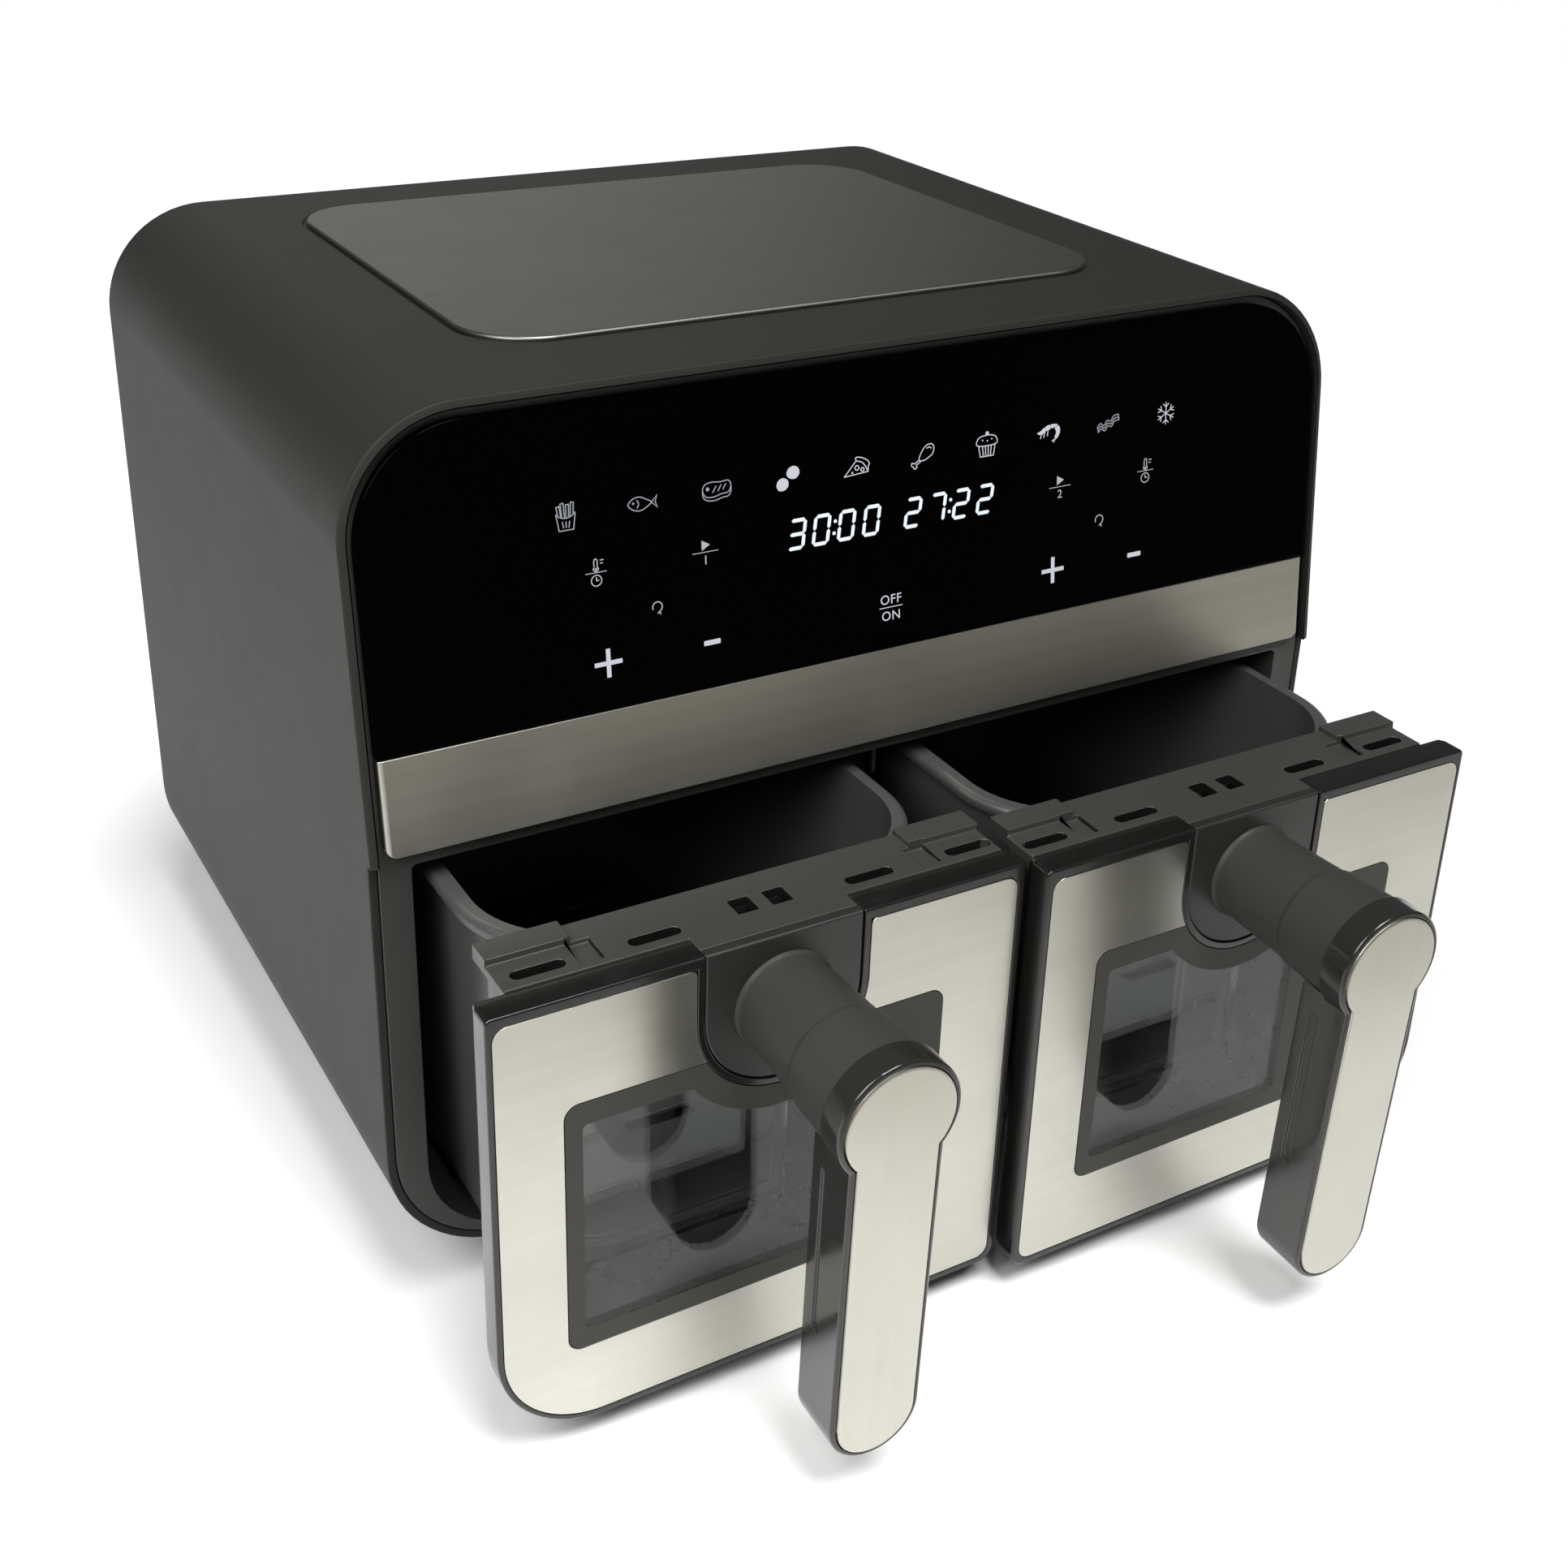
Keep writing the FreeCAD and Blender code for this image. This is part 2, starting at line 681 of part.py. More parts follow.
def cavity_liner(side):
    """Sheet-metal oven box, open to the drawer bay, holed for the fan shaft and heater legs."""
    x = side * cavity_x
    half = cavity_width / 2
    t = cavity_wall
    radii = (cavity_low_r, cavity_corner_r) if side < 0 else (cavity_corner_r, cavity_low_r)
    radii += (cavity_corner_r, cavity_corner_r)
    outer = upright(x - half, x + half, base_floor, cavity_top, radii, frame_depth, cavity_rear)
    inside = (x - half + t, x + half - t, base_floor + t, cavity_top - t, [r - t for r in radii])
    inner = upright(*inside, frame_depth + t, cavity_rear - t)
    mouth = upright(*inside, frame_depth - 1, frame_depth + t + 1)
    mouth = mouth.common(box(x - half, x + half, 0, far, 0, opening_top))
    z0, z1 = cavity_top - 2 * t, cavity_top + t
    holes = [post(x, fan_y, z0, z1, shaft_r + hub_wall)]
    for y in heater_leg_places():
        holes.append(post(x, y, z0, z1, heater_leg_r + shaft_bore_gap))
    return outer.cut(inner).cut(mouth).cut(Part.makeCompound(holes))


def heater_leg_places():
    return fan_y + heater_outer_r, fan_y - heater_lead_y


def heater_element(side):
    """Flat coil of half turns, each a little tighter, with two legs up through the cavity's roof."""
    x = side * cavity_x
    centre, r, sign = fan_y, heater_outer_r, 1
    pieces = []
    for _ in range(heater_half_turns):
        start = V(x, centre + sign * r, heater_z)
        circle = Part.Wire([Part.makeCircle(heater_tube_r, start, V(1, 0, 0))])
        turn = Part.Face(circle).revolve(V(x, centre, heater_z), V(0, 0, 1), 180)
        pieces.append(turn)
        end_y = centre - sign * r
        r_next = r - heater_pitch / 2
        centre = end_y + sign * r_next
        r, sign = r_next, -sign
    leg_r = heater_leg_r
    outer_y, lead_y = heater_leg_places()
    lead_z = heater_z + heater_lead_rise
    leg_top = cavity_top + heater_leg_rise
    pieces.append(Part.makeSphere(heater_tube_r, V(x, outer_y, heater_z)))
    pieces.append(post(x, outer_y, heater_z, leg_top, leg_r))
    pieces.append(Part.makeSphere(heater_tube_r, V(x, end_y, heater_z)))
    pieces.append(post(x, end_y, heater_z, lead_z, leg_r))
    pieces.append(Part.makeSphere(leg_r, V(x, end_y, lead_z)))
    pieces.append(along_y(x, lead_z, lead_y, end_y, leg_r))
    pieces.append(Part.makeSphere(leg_r, V(x, lead_y, lead_z)))
    pieces.append(post(x, lead_y, lead_z, leg_top, leg_r))
    return fused(pieces)


def guard_arms(side):
    """Direction and end of each of the guard's four arms."""
    for k in range(4):
        a = math.radians(45 + 90 * k)
        c, n = math.cos(a), math.sin(a)
        yield V(c, n, 0), side * cavity_x + guard_outer_r * c, fan_y + guard_outer_r * n


def heater_guard(side):
    """Flat wire grille under the coil: three rings on four arms."""
    centre = V(side * cavity_x, fan_y, guard_z)
    wires = [Part.makeTorus(big, guard_wire_r, centre) for big in (guard_outer_r, guard_inner_r, guard_hub_r)]
    for direction, _, _ in guard_arms(side):
        start = centre + direction * guard_hub_r
        wires.append(Part.makeCylinder(guard_spoke_r, guard_outer_r - guard_hub_r, start, direction))
    return fused(wires)


def guard_hangers(side):
    """Four wires that hang the grille from the cavity's roof."""
    return Part.makeCompound([post(x, y, guard_z + guard_wire_r, cavity_top - cavity_wall, guard_spoke_r)
                              for _, x, y in guard_arms(side)])


def motor_bracket(side):
    """Bridge over the cavity's roof, with a foot at each end."""
    x = side * cavity_x
    b = bracket_half
    t = bracket_thick
    y0, y1 = fan_y - bracket_leg_half, fan_y + bracket_leg_half
    z1 = motor_bottom
    pieces = [flat(x - b, x + b, fan_y - bracket_half_depth, fan_y + bracket_half_depth, 4, z1 - t, z1)]
    for s in (-1, 1):
        inner, wall, toe = x + s * (b - t), x + s * b, x + s * (b + bracket_leg_half)
        pieces.append(box(min(inner, wall), max(inner, wall), y0, y1, cavity_top, z1 - t))
        pieces.append(box(min(inner, toe), max(inner, toe), y0, y1, cavity_top, cavity_top + t))
    return fused(pieces).cut(post(x, fan_y, cavity_top, z1 + 1, shaft_r + hub_wall + 1))


def motor(side):
    x = side * cavity_x
    z0 = motor_bottom
    can = post(x, fan_y, z0, z0 + motor_height, motor_r)
    can = can.makeFillet(motor_edge_r, edges_where(can, lambda e: e.Closed))
    ear = motor_r + motor_ear
    ears = fused([can, flat(x - ear, x + ear, fan_y - 6, fan_y + 6, 5, z0, z0 + 2)])
    return ears.cut(post(x, fan_y, z0 - 1, z0 + motor_height + 1, shaft_r + shaft_bore_gap))


def fan_shaft(side):
    z1 = cooling_fan_z + cooling_fan_blade + fan_plate + shaft_end
    rod = post(side * cavity_x, fan_y, cooking_fan_z - 1, z1, shaft_r)
    return rod.makeChamfer(shaft_r / 5, edges_where(rod, lambda e: e.Closed))


def bladed_wheel(side, z0, radius, blade, plate_up):
    """Disc with straight blades set at a slant and a hub, round the fan shaft."""
    x = side * cavity_x
    z1 = z0 + blade + fan_plate
    disc_z = z0 + blade if plate_up else z0
    root = radius * 0.3
    parts = [post(x, fan_y, disc_z, disc_z + fan_plate, radius * 0.72)]
    parts.append(post(x, fan_y, z0, z1, shaft_r + hub_wall))
    for k in range(fan_blades):
        fin = box(root, radius, -blade_half, blade_half, z0, z1)
        fin.rotate(V(root, 0, 0), V(0, 0, 1), blade_turn)
        fin.rotate(V(0, 0, 0), V(0, 0, 1), 360.0 / fan_blades * k)
        fin.translate(V(x, fan_y, 0))
        parts.append(fin)
    return fused(parts).cut(post(x, fan_y, z0 - 1, z1 + 1, shaft_r + shaft_bore_gap))


def cooking_fan(side):
    return bladed_wheel(side, cooking_fan_z, cooking_fan_r, cooking_fan_blade, True)


def cooling_fan(side):
    return bladed_wheel(side, cooling_fan_z, cooling_fan_r, cooling_fan_blade, False)


def drawer_rails(side):
    """Two ledges on the cavity walls that the pot's rim slides on."""
    x = side * cavity_x
    half = cavity_width / 2 - cavity_wall
    pot_x = side * pot_centre
    grip = pot_half - rim_width + rail_width_gap
    y0 = frame_depth
    y1 = cavity_rear - cavity_wall
    rails = []
    for s in (-1, 1):
        wall = x + s * half
        tip = pot_x + s * grip
        lo, hi = min(wall, tip), max(wall, tip)
        ledge = box(lo, hi, y0, y1, rail_top - rail_thick, rail_top)
        web_lo = min(wall, wall - s * rail_web)
        web = box(web_lo, web_lo + rail_web, y0, y1, rail_top - rail_height, rail_top)
        rails.append(fused([ledge, web]))
    return Part.makeCompound(rails)


def housing_screws():
    """Pan-head screws that hold the rear cover to the shell's bosses."""
    screws = []
    for x, z in rear_screw_places():
        head = Part.makeCone(screw_head_r, screw_head_r * 0.75, screw_head_height,
                             V(x, body_depth, z), V(0, 1, 0))
        shank = along_y(x, z, body_depth - screw_length, body_depth, screw_r)
        screws.append(head.fuse(shank).removeSplitter())
    return Part.makeCompound(screws)


# ---- drawers, modelled closed -------------------------------------------------------
def drawer_span(side, outer, inner):
    return (-outer, -inner) if side < 0 else (inner, outer)


def drawer_radii(side, low, small, top):
    return (low, small, top, top) if side < 0 else (small, low, top, top)


def plate_span(side):
    return drawer_span(side, front_outer - plate_side, front_inner + plate_inner_side)


def window_span(side):
    x0 = plate_span(side)[0] + window_from_plate
    return x0, x0 + window_width


def clear_outline(side, y0, y1, grow=0.0):
    """Clear part of the window, with a bite that follows the bib."""
    x0, x1 = window_span(side)
    pane = upright(x0 + clear_left - grow, x1 - clear_right + grow, window_low + clear_low - grow,
                   window_high - clear_high + grow, (2, 2, 2, 2), y0, y1)
    bite = along_y(side * handle_x, handle_z, y0 - 1, y1 + 1, bib_half + clear_bib_gap - grow)
    return pane.cut(bite)


def bib_outline(side, half, y0, y1, top):
    """Straight-sided tongue with a round lower end."""
    x = side * handle_x
    r = half - 0.01
    return upright(x - half, x + half, handle_z - half, top, (r, r, 0, 0), y0, y1)


def window_hole(side, y0, y1):
    """Hole for the front glass, clear of the rim left round the bib."""
    w0, w1 = window_span(side)
    g = fit_gap
    hole = upright(w0 - g, w1 + g, window_low - g, window_high + g, (window_r,) * 4, y0, y1)
    return hole.cut(bib_outline(side, bib_half + bib_gap - g, y0 - 1, y1 + 1, front_top + 5))


def drawer_front(side):
    x0, x1 = drawer_span(side, front_outer, front_inner)
    radii = drawer_radii(side, front_low_r, front_small_r, 2.0)
    body = upright(x0, x1, front_bottom, front_top, radii, front_face, -closed_gap)
    body = body.makeFillet(front_edge_r, edges_where(body, lambda e: e.BoundBox.YMax < front_face + 1e-3))
    top_back = edges_where(body, lambda e: e.BoundBox.YMin > -closed_gap - 1e-3
                           and e.BoundBox.ZMin > front_top - 1e-3)
    body = body.makeChamfer(hood_dip, hood_dip_width, top_back)
    s = front_skin
    inner_radii = drawer_radii(side, front_low_r - s, front_small_r - s, 1.0)
    hollow = upright(x0 + s, x1 - s, front_bottom + s, front_top - s, inner_radii,
                     front_face + front_face_wall, 1)
    body = body.cut(hollow)
    p0, p1 = plate_span(side)
    seat_radii = drawer_radii(side, plate_low_r, plate_small_r, plate_small_r)
    seat = upright(p0, p1, front_bottom + plate_low, front_top - plate_high, seat_radii,
                   front_face - 1, front_face + plate_thick)
    body = body.cut(seat)
    body = body.cut(window_hole(side, front_face - 1, 5))
    boss = bib_outline(side, bib_half + bib_gap - fit_gap, front_face, -closed_gap,
                       front_top - front_skin)
    body = fused([body, boss])
    body = body.cut(bib_outline(side, bib_half + fit_gap, front_face - 1, front_face + bib_thick,
                                front_top + 1))
    return body.cut(cap_tongue(side, fit_gap, front_face - 1, front_top + 1))


def face_plate(side):
    p0, p1 = plate_span(side)
    g = fit_gap
    radii = drawer_radii(side, plate_low_r - g, plate_small_r - g, plate_small_r - g)
    plate = upright(p0 + g, p1 - g, front_bottom + plate_low + g, front_top - plate_high - g, radii,
                    front_face, front_face + plate_thick)
    plate = plate.cut(window_hole(side, front_face - 1, 5))
    return plate.cut(bib_outline(side, bib_half + bib_gap, front_face - 1, 5, front_top + 5))


def window_glass(side):
    w0, w1 = window_span(side)
    glass = upright(w0, w1, window_low, window_high, (window_r,) * 4, front_face,
                    front_face + window_thick)
    return glass.cut(bib_outline(side, bib_half + bib_gap, front_face - 1, 5, front_top + 5))


def cap_tongue(side, gap, y0, z1):
    """Part of the cap that reaches forward to the bib, or the space for it."""
    half = bib_half + gap
    x = side * handle_x
    return box(x - half, x + half, y0, 0, front_top - tongue_thick - gap, z1)


def drawer_cap(side):
    x0, x1 = drawer_span(side, cap_outer, cap_inner)
    y0, y1 = -closed_gap, -closed_gap + cap_depth
    z0 = rim_top
    cap = upright(x0, x1, z0, front_top, (0, 0, 1.0, 1.0), y0, y1)
    block_z = front_top + cap_block_rise
    tongue = cap_tongue(side, 0, front_face + bib_thick + fit_gap, front_top)
    parts = [cap, tongue]
    for end, inward in ((x0, 1), (x1, -1)):
        lo = min(end, end + inward * cap_block_length)
        parts.append(box(lo, lo + cap_block_length, y1 - cap_block_depth, y1, z0, block_z))
        lo = min(end, end + inward * cap_skirt_wall)
        parts.append(box(lo, lo + cap_skirt_wall, y0, pot_front - 2, z0 - cap_skirt, z0))
    cap = fused(parts)
    cuts = []
    h = cap_slot_width / 2
    for k in (-2, -1, 1, 2):
        cx = side * cap_slot_centre + k * cap_slot_pitch
        cuts.append(flat(cx - cap_slot_length / 2, cx + cap_slot_length / 2, cap_slot_y - h,
                         cap_slot_y + h, h - 0.01, z0 - 1, block_z + 1))
    for s in (-1, 1):
        cx = side * cap_slot_centre + s * (cap_clip_gap + cap_clip_slot) / 2
        cuts.append(box(cx - cap_clip_slot / 2, cx + cap_clip_slot / 2, cap_slot_y - 1,
                        cap_slot_y + cap_clip_slot, z0 - 1, block_z + 1))
        cx = side * cap_slot_centre + s * cap_pocket_place
        half = cap_pocket_width / 2
        cuts.append(box(cx - half, cx + half, cap_pocket_front, cap_pocket_front + cap_pocket_length,
                        front_top - cap_pocket_deep, block_z + 1))
    return cap.cut(Part.makeCompound(cuts))


def pot_block(side, inset, z0, z1, shrink0, shrink1):
    """Tapered tub between two heights; shrink is how far each side has drawn in."""
    x = side * pot_centre
    half = pot_half - rim_width - inset
    wires = []
    for z, shrink in ((z0, shrink0), (z1, shrink1)):
        h = half - shrink
        y0 = pot_front + rim_width + inset + shrink
        y1 = pot_rear - rim_width - inset - shrink
        r = pot_corner_r - rim_width - inset - shrink * 0.5
        wires.append(rounded_wire(x - h, x + h, y0, y1, (r, r, r, r), lambda u, w, z=z: V(u, w, z)))
    return Part.makeLoft(wires, True, True)


def tub_half(z):
    """Half the width inside the tub at a height."""
    return pot_half - rim_width - pot_wall - pot_draft * (rim_top - z) / (rim_top - pot_bottom)


def pot(side):
    outer = pot_block(side, 0, pot_bottom, rim_top, pot_draft, 0)
    outer = outer.makeFillet(pot_bottom_r, edges_where(
        outer, lambda e: e.BoundBox.ZMax < pot_bottom + 0.01))
    share = pot_draft * (pot_wall / (rim_top - pot_bottom))
    inner = pot_block(side, pot_wall, pot_bottom + pot_wall, rim_top + 1, pot_draft - share, -share)
    inner = inner.makeFillet(pot_bottom_r - pot_wall, edges_where(
        inner, lambda e: e.BoundBox.ZMax < pot_bottom + pot_wall + 0.01))
    x = side * pot_centre
    rim = flat(x - pot_half, x + pot_half, pot_front, pot_rear, pot_corner_r,
               rim_top - rim_height, rim_top)
    roll = edges_where(rim, lambda e: e.BoundBox.ZLength < 0.01)
    rim = rim.makeFillet((rim_height - rim_flat) / 2, roll)
    tub = fused([outer, rim]).cut(inner)
    hole = clear_outline(side, pot_front - 5, pot_front + pot_corner_r, -1.0)
    return tub.cut(hole)


def inner_glass(side):
    """Heat-proof pane inside the surround, in front of the tub's own window."""
    y1 = pot_front + rim_width - fit_gap
    return clear_outline(side, y1 - inner_glass_thick, y1, tunnel_bore - fit_gap)


def window_tunnel(side):
    """Black surround between the front glass and the tub, ended to the tub's shape."""
    y0 = front_face + window_thick
    deep = pot_front + pot_corner_r
    outer = clear_outline(side, y0, deep, tunnel_bore + tunnel_wall)
    inner = clear_outline(side, y0 - 1, deep + 1, tunnel_bore)
    tub = pot_block(side, -fit_gap, pot_bottom, rim_top, pot_draft, 0)
    return outer.cut(inner).cut(tub)


def handle_bib(side):
    y0 = front_face + bib_sink
    bib = bib_outline(side, bib_half, y0, front_face + bib_thick, front_top)
    rim = edges_where(bib, lambda e: abs(e.BoundBox.YMax - y0) < 1e-3)
    return bib.makeChamfer(bib_edge, rim)


def tilted(shape, side):
    """Bring the lower end of the grip a little nearer the drawer."""
    turned = shape.copy()
    turned.rotate(V(side * handle_x, head_back, handle_z), V(1, 0, 0), handle_tilt)
    return turned


def handle_neck(side):
    """Turned neck with a step ring, cut off square to the tilted grip."""
    base_y = front_face + bib_sink
    back = base_y - head_back
    step = back * neck_step_share
    over = 2.0
    outline = [(0, base_y), (neck_base_r + neck_foot, base_y), (neck_base_r, base_y - over),
               (neck_mid_r, base_y - step + over), (neck_mid_r + neck_ring, base_y - step),
               (neck_head_r, base_y - back), (neck_head_r, base_y - back - over),
               (0, base_y - back - over)]
    x = side * handle_x
    ring = Part.makePolygon([V(x + r, y, handle_z) for r, y in outline + outline[:1]])
    neck = Part.Face(ring).revolve(V(x, 0, handle_z), V(0, 1, 0), 360)
    soft = edges_where(neck, lambda e: len(e.Vertexes) == 1
                       and base_y - step - 1 < e.BoundBox.YMin < base_y - step + over + 1)
    neck = neck.makeFillet(neck_soft_r, soft)
    beyond = box(x - far, x + far, head_back - far, head_back, handle_z - far, handle_z + far)
    return neck.cut(tilted(beyond, side))


def keyhole(side, shrink, y0, y1):
    """Round head over a straight bar with a round foot."""
    x = side * handle_x
    head = along_y(x, handle_z, y0, y1, grip_head_r - shrink)
    return head.fuse(grip_bar(side, shrink, y0, y1)).removeSplitter()


def grip_bar(side, shrink, y0, y1):
    x = side * handle_x
    half = grip_half - shrink
    r = half - 0.01
    return upright(x - half, x + half, grip_low + shrink, handle_z, (r, r, 0, 0), y0, y1)


def handle_grip(side):
    """Glossy head and straight bar behind the steel insert."""
    x = side * handle_x
    y0 = handle_tip + insert_proud
    y1 = y0 + grip_thick
    body = keyhole(side, 0, y0, head_back)
    front = edges_where(body, lambda e: abs(e.BoundBox.YMax - y0) < 1e-3)
    body = body.makeFillet(grip_edge_r, front)
    back_bar = grip_bar(side, 0, head_back, y1)
    back_bar = back_bar.cut(along_y(x, handle_z, y0, y1 + 1, neck_head_r + fit_gap))
    body = fused([body, back_bar])
    grooves = []
    back = y1 - grip_groove_back
    top = handle_z - grip_groove_drop
    for s in (-1, 1):
        wall = x + s * grip_half
        grooves.append(box(wall - grip_groove_deep, wall + grip_groove_deep, back - grip_groove_width, back,
                           top - grip_groove_length, top))
    pocket = keyhole(side, insert_margin - fit_gap, y0 - 1, handle_tip + insert_thick)
    return tilted(body.cut(Part.makeCompound(grooves)).cut(pocket), side)


def handle_insert(side):
    face = keyhole(side, insert_margin, handle_tip, handle_tip + insert_thick)
    rim = edges_where(face, lambda e: abs(e.BoundBox.YMax - handle_tip) < 1e-3)
    return tilted(face.makeChamfer(insert_bevel, rim), side)


def crisper_plate(side):
    """Slotted plate on four short feet."""
    x = side * pot_centre
    z0 = crisper_z
    half = tub_half(z0) - crisper_gap
    length = pot_length / 2 - pot_half + half
    y0, y1 = pot_middle - length, pot_middle + length
    r = pot_corner_r - rim_width - pot_wall - crisper_gap
    plate = flat(x - half, x + half, y0, y1, r, z0, z0 + crisper_thick)
    cuts = []
    cell = (y1 - y0 - 2 * crisper_end) / (crisper_rows - 1)
    width = 2 * (half - crisper_border) / crisper_slots
    slot = (width - crisper_slot_space) / 2
    for row in range(crisper_rows):
        y = y0 + crisper_end + row * cell
        for k in range(crisper_slots):
            cx = x - half + crisper_border + width * (k + 0.5)
            cuts.append(box(cx - slot, cx + slot, y - crisper_slot_half, y + crisper_slot_half,
                            z0 - 1, z0 + crisper_thick + 1))
    floor = pot_bottom + pot_wall + running_gap
    legs = [post(x + sx * crisper_leg_x, pot_middle + sy * crisper_leg_y, floor, z0, crisper_leg_r)
            for sx in (-1, 1) for sy in (-1, 1)]
    return fused([plate.cut(Part.makeCompound(cuts))] + legs)


def crisper_bumpers(side):
    """Soft pads on the plate's long edges, just clear of the tub."""
    x = side * pot_centre
    z0 = crisper_z - bumper_low
    z1 = crisper_z + crisper_thick + bumper_high
    inner = tub_half(crisper_z) - crisper_gap
    outer = tub_half(z0) - running_gap
    h = bumper_size / 2
    pads = []
    for s in (-1, 1):
        for y in (pot_middle - bumper_spread, pot_middle + bumper_spread):
            a, b = sorted((x + s * inner, x + s * outer))
            pads.append(box(a, b, y - h, y + h, z0, z1))
    return Part.makeCompound(pads)


# ---- build and write ----------------------------------------------------------------
def build():
    nodes = {
        "outer_shell": outer_shell(), "top_panel": top_panel(), "front_frame": front_frame(),
        "control_panel": control_panel(), "steel_strip": steel_strip(), "touch_board": touch_board(),
        "display_module": display_module(), "power_board": power_board(), "rear_cover": rear_cover(),
        "cord_gland": cord_gland(), "base_plate": base_plate(), "rubber_feet": rubber_feet(),
        "housing_screws": housing_screws(),
    }
    fixed = {"cavity_liner": cavity_liner, "drawer_rails": drawer_rails, "heater_element": heater_element,
             "heater_guard": heater_guard, "guard_hangers": guard_hangers, "motor_bracket": motor_bracket,
             "motor": motor, "fan_shaft": fan_shaft, "cooking_fan": cooking_fan, "cooling_fan": cooling_fan}
    pulled = {"drawer_front": drawer_front, "face_plate": face_plate, "window_glass": window_glass,
              "drawer_cap": drawer_cap, "pot": pot, "inner_glass": inner_glass,
              "window_tunnel": window_tunnel, "handle_bib": handle_bib, "handle_neck": handle_neck,
              "handle_grip": handle_grip, "handle_insert": handle_insert,
              "crisper_plate": crisper_plate, "crisper_bumpers": crisper_bumpers}
    for name, side in sides.items():
        for piece, make in fixed.items():
            nodes[piece + "_" + name] = make(side)
        for piece, make in pulled.items():
            shape = make(side)
            shape.translate(V(0, -pull[name], 0))
            nodes[piece + "_" + name] = shape
    return nodes


def main():
    os.makedirs("parts", exist_ok=True)
    for name, shape in build().items():
        shape.translate(V(0, -middle_y, 0))
        shape.exportStep(os.path.join("parts", name + ".step"))


main()
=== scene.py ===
import bmesh
import bpy
import json
import math
from mathutils import Matrix, Vector
from mathutils.bvhtree import BVHTree

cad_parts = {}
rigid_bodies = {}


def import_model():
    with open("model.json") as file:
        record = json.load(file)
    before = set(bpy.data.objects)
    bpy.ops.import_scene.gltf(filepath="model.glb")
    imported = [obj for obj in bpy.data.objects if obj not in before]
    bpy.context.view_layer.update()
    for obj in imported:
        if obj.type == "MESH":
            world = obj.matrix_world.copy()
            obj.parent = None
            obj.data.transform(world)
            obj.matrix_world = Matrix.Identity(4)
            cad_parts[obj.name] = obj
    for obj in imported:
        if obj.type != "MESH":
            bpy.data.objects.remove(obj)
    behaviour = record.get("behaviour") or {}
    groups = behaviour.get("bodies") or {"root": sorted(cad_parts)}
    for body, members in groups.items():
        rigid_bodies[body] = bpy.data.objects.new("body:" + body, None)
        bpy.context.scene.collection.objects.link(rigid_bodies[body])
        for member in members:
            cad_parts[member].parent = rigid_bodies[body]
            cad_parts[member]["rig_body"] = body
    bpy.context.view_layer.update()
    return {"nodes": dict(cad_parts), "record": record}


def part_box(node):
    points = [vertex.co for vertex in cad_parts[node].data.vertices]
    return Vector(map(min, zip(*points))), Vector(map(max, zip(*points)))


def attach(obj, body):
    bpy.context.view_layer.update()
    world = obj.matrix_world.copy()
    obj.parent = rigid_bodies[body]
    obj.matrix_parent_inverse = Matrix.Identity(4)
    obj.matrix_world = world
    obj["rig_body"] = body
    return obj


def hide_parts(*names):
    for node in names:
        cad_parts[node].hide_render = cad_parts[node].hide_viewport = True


# Two-drawer air fryer: finishes, rounded edges, small fittings, printed panel and windows, set and camera.
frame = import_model()
nodes = frame["nodes"]
slotOf = {part["node"]: part["material_slot"] for part in frame["record"]["subparts"]}
sides = ("left", "right")
mm = 0.001
print("frame loaded:", len(nodes), "pieces")

# width of one feature of each texture, and height of its relief, in metres
textureSize = {"shadeDrift": 0.11, "steelClouds": 0.045, "orangePeel": 0.0011, "peelHeight": 3e-5,
               "coatClouds": 0.03, "pits": 0.0006, "pitHeight": 1e-5, "inkScreen": 0.0004,
               "glassFilm": 0.02, "boardTracks": 0.011, "trackHeight": 4e-5, "boardWeave": 0.0007}
# lines in a band, clouds to a patch, edges of a fleck, and how dark the ink's screen and unlit ink are
textureShare = {"bands": 9, "clouds": 2.5, "fleckEdge": (0.05, 0.12), "inkScreen": 0.88, "unlitInk": 0.1}


def newFinish(name):
    finish = bpy.data.materials.new(name)
    finish.use_nodes = True
    return finish, finish.node_tree, finish.node_tree.nodes["Principled BSDF"]


def setInputs(node, values):
    # by name or number; an output of another node is linked
    for label, value in values.items():
        if isinstance(value, bpy.types.NodeSocket):
            node.id_data.links.new(value, node.inputs[label])
        else:
            node.inputs[label].default_value = value


def addNode(tree, kind, values, **settings):
    node = tree.nodes.new(kind)
    for label, value in settings.items():
        setattr(node, label, value)
    setInputs(node, values)
    return node


def pattern(tree, kind, size, stretch=(1, 1, 1), **values):
    # a texture on object coordinates: size is the width of one feature in metres
    place = tree.nodes.new("ShaderNodeTexCoord").outputs["Object"]
    scale = [1 / (size * share) for share in stretch]
    mapping = addNode(tree, "ShaderNodeMapping", {"Vector": place, "Scale": scale})
    return addNode(tree, kind, {"Vector": mapping.outputs["Vector"], "Scale": 1.0, **values})


def noise(tree, size, detail, roughness=0.5, stretch=(1, 1, 1)):
    texture = pattern(tree, "ShaderNodeTexNoise", size, stretch, Detail=detail, Roughness=roughness)
    return texture.outputs["Fac"]


def spread(tree, source, low, high, fromLow=0.3, fromHigh=0.7, **settings):
    # the source's range from fromLow to fromHigh, stretched to low and high
    values = {"Value": source, "From Min": fromLow, "From Max": fromHigh, "To Min": low, "To Max": high}
    return addNode(tree, "ShaderNodeMapRange", values, **settings).outputs["Result"]


def calculated(tree, operation, *values):
    step = addNode(tree, "ShaderNodeMath", dict(enumerate(values)), operation=operation)
    return step.outputs["Value"]


def blendColors(tree, source, first, second):
    colors = {"Factor": source, "A": (*first, 1), "B": (*second, 1)}
    return addNode(tree, "ShaderNodeMix", colors, data_type="RGBA").outputs["Result"]


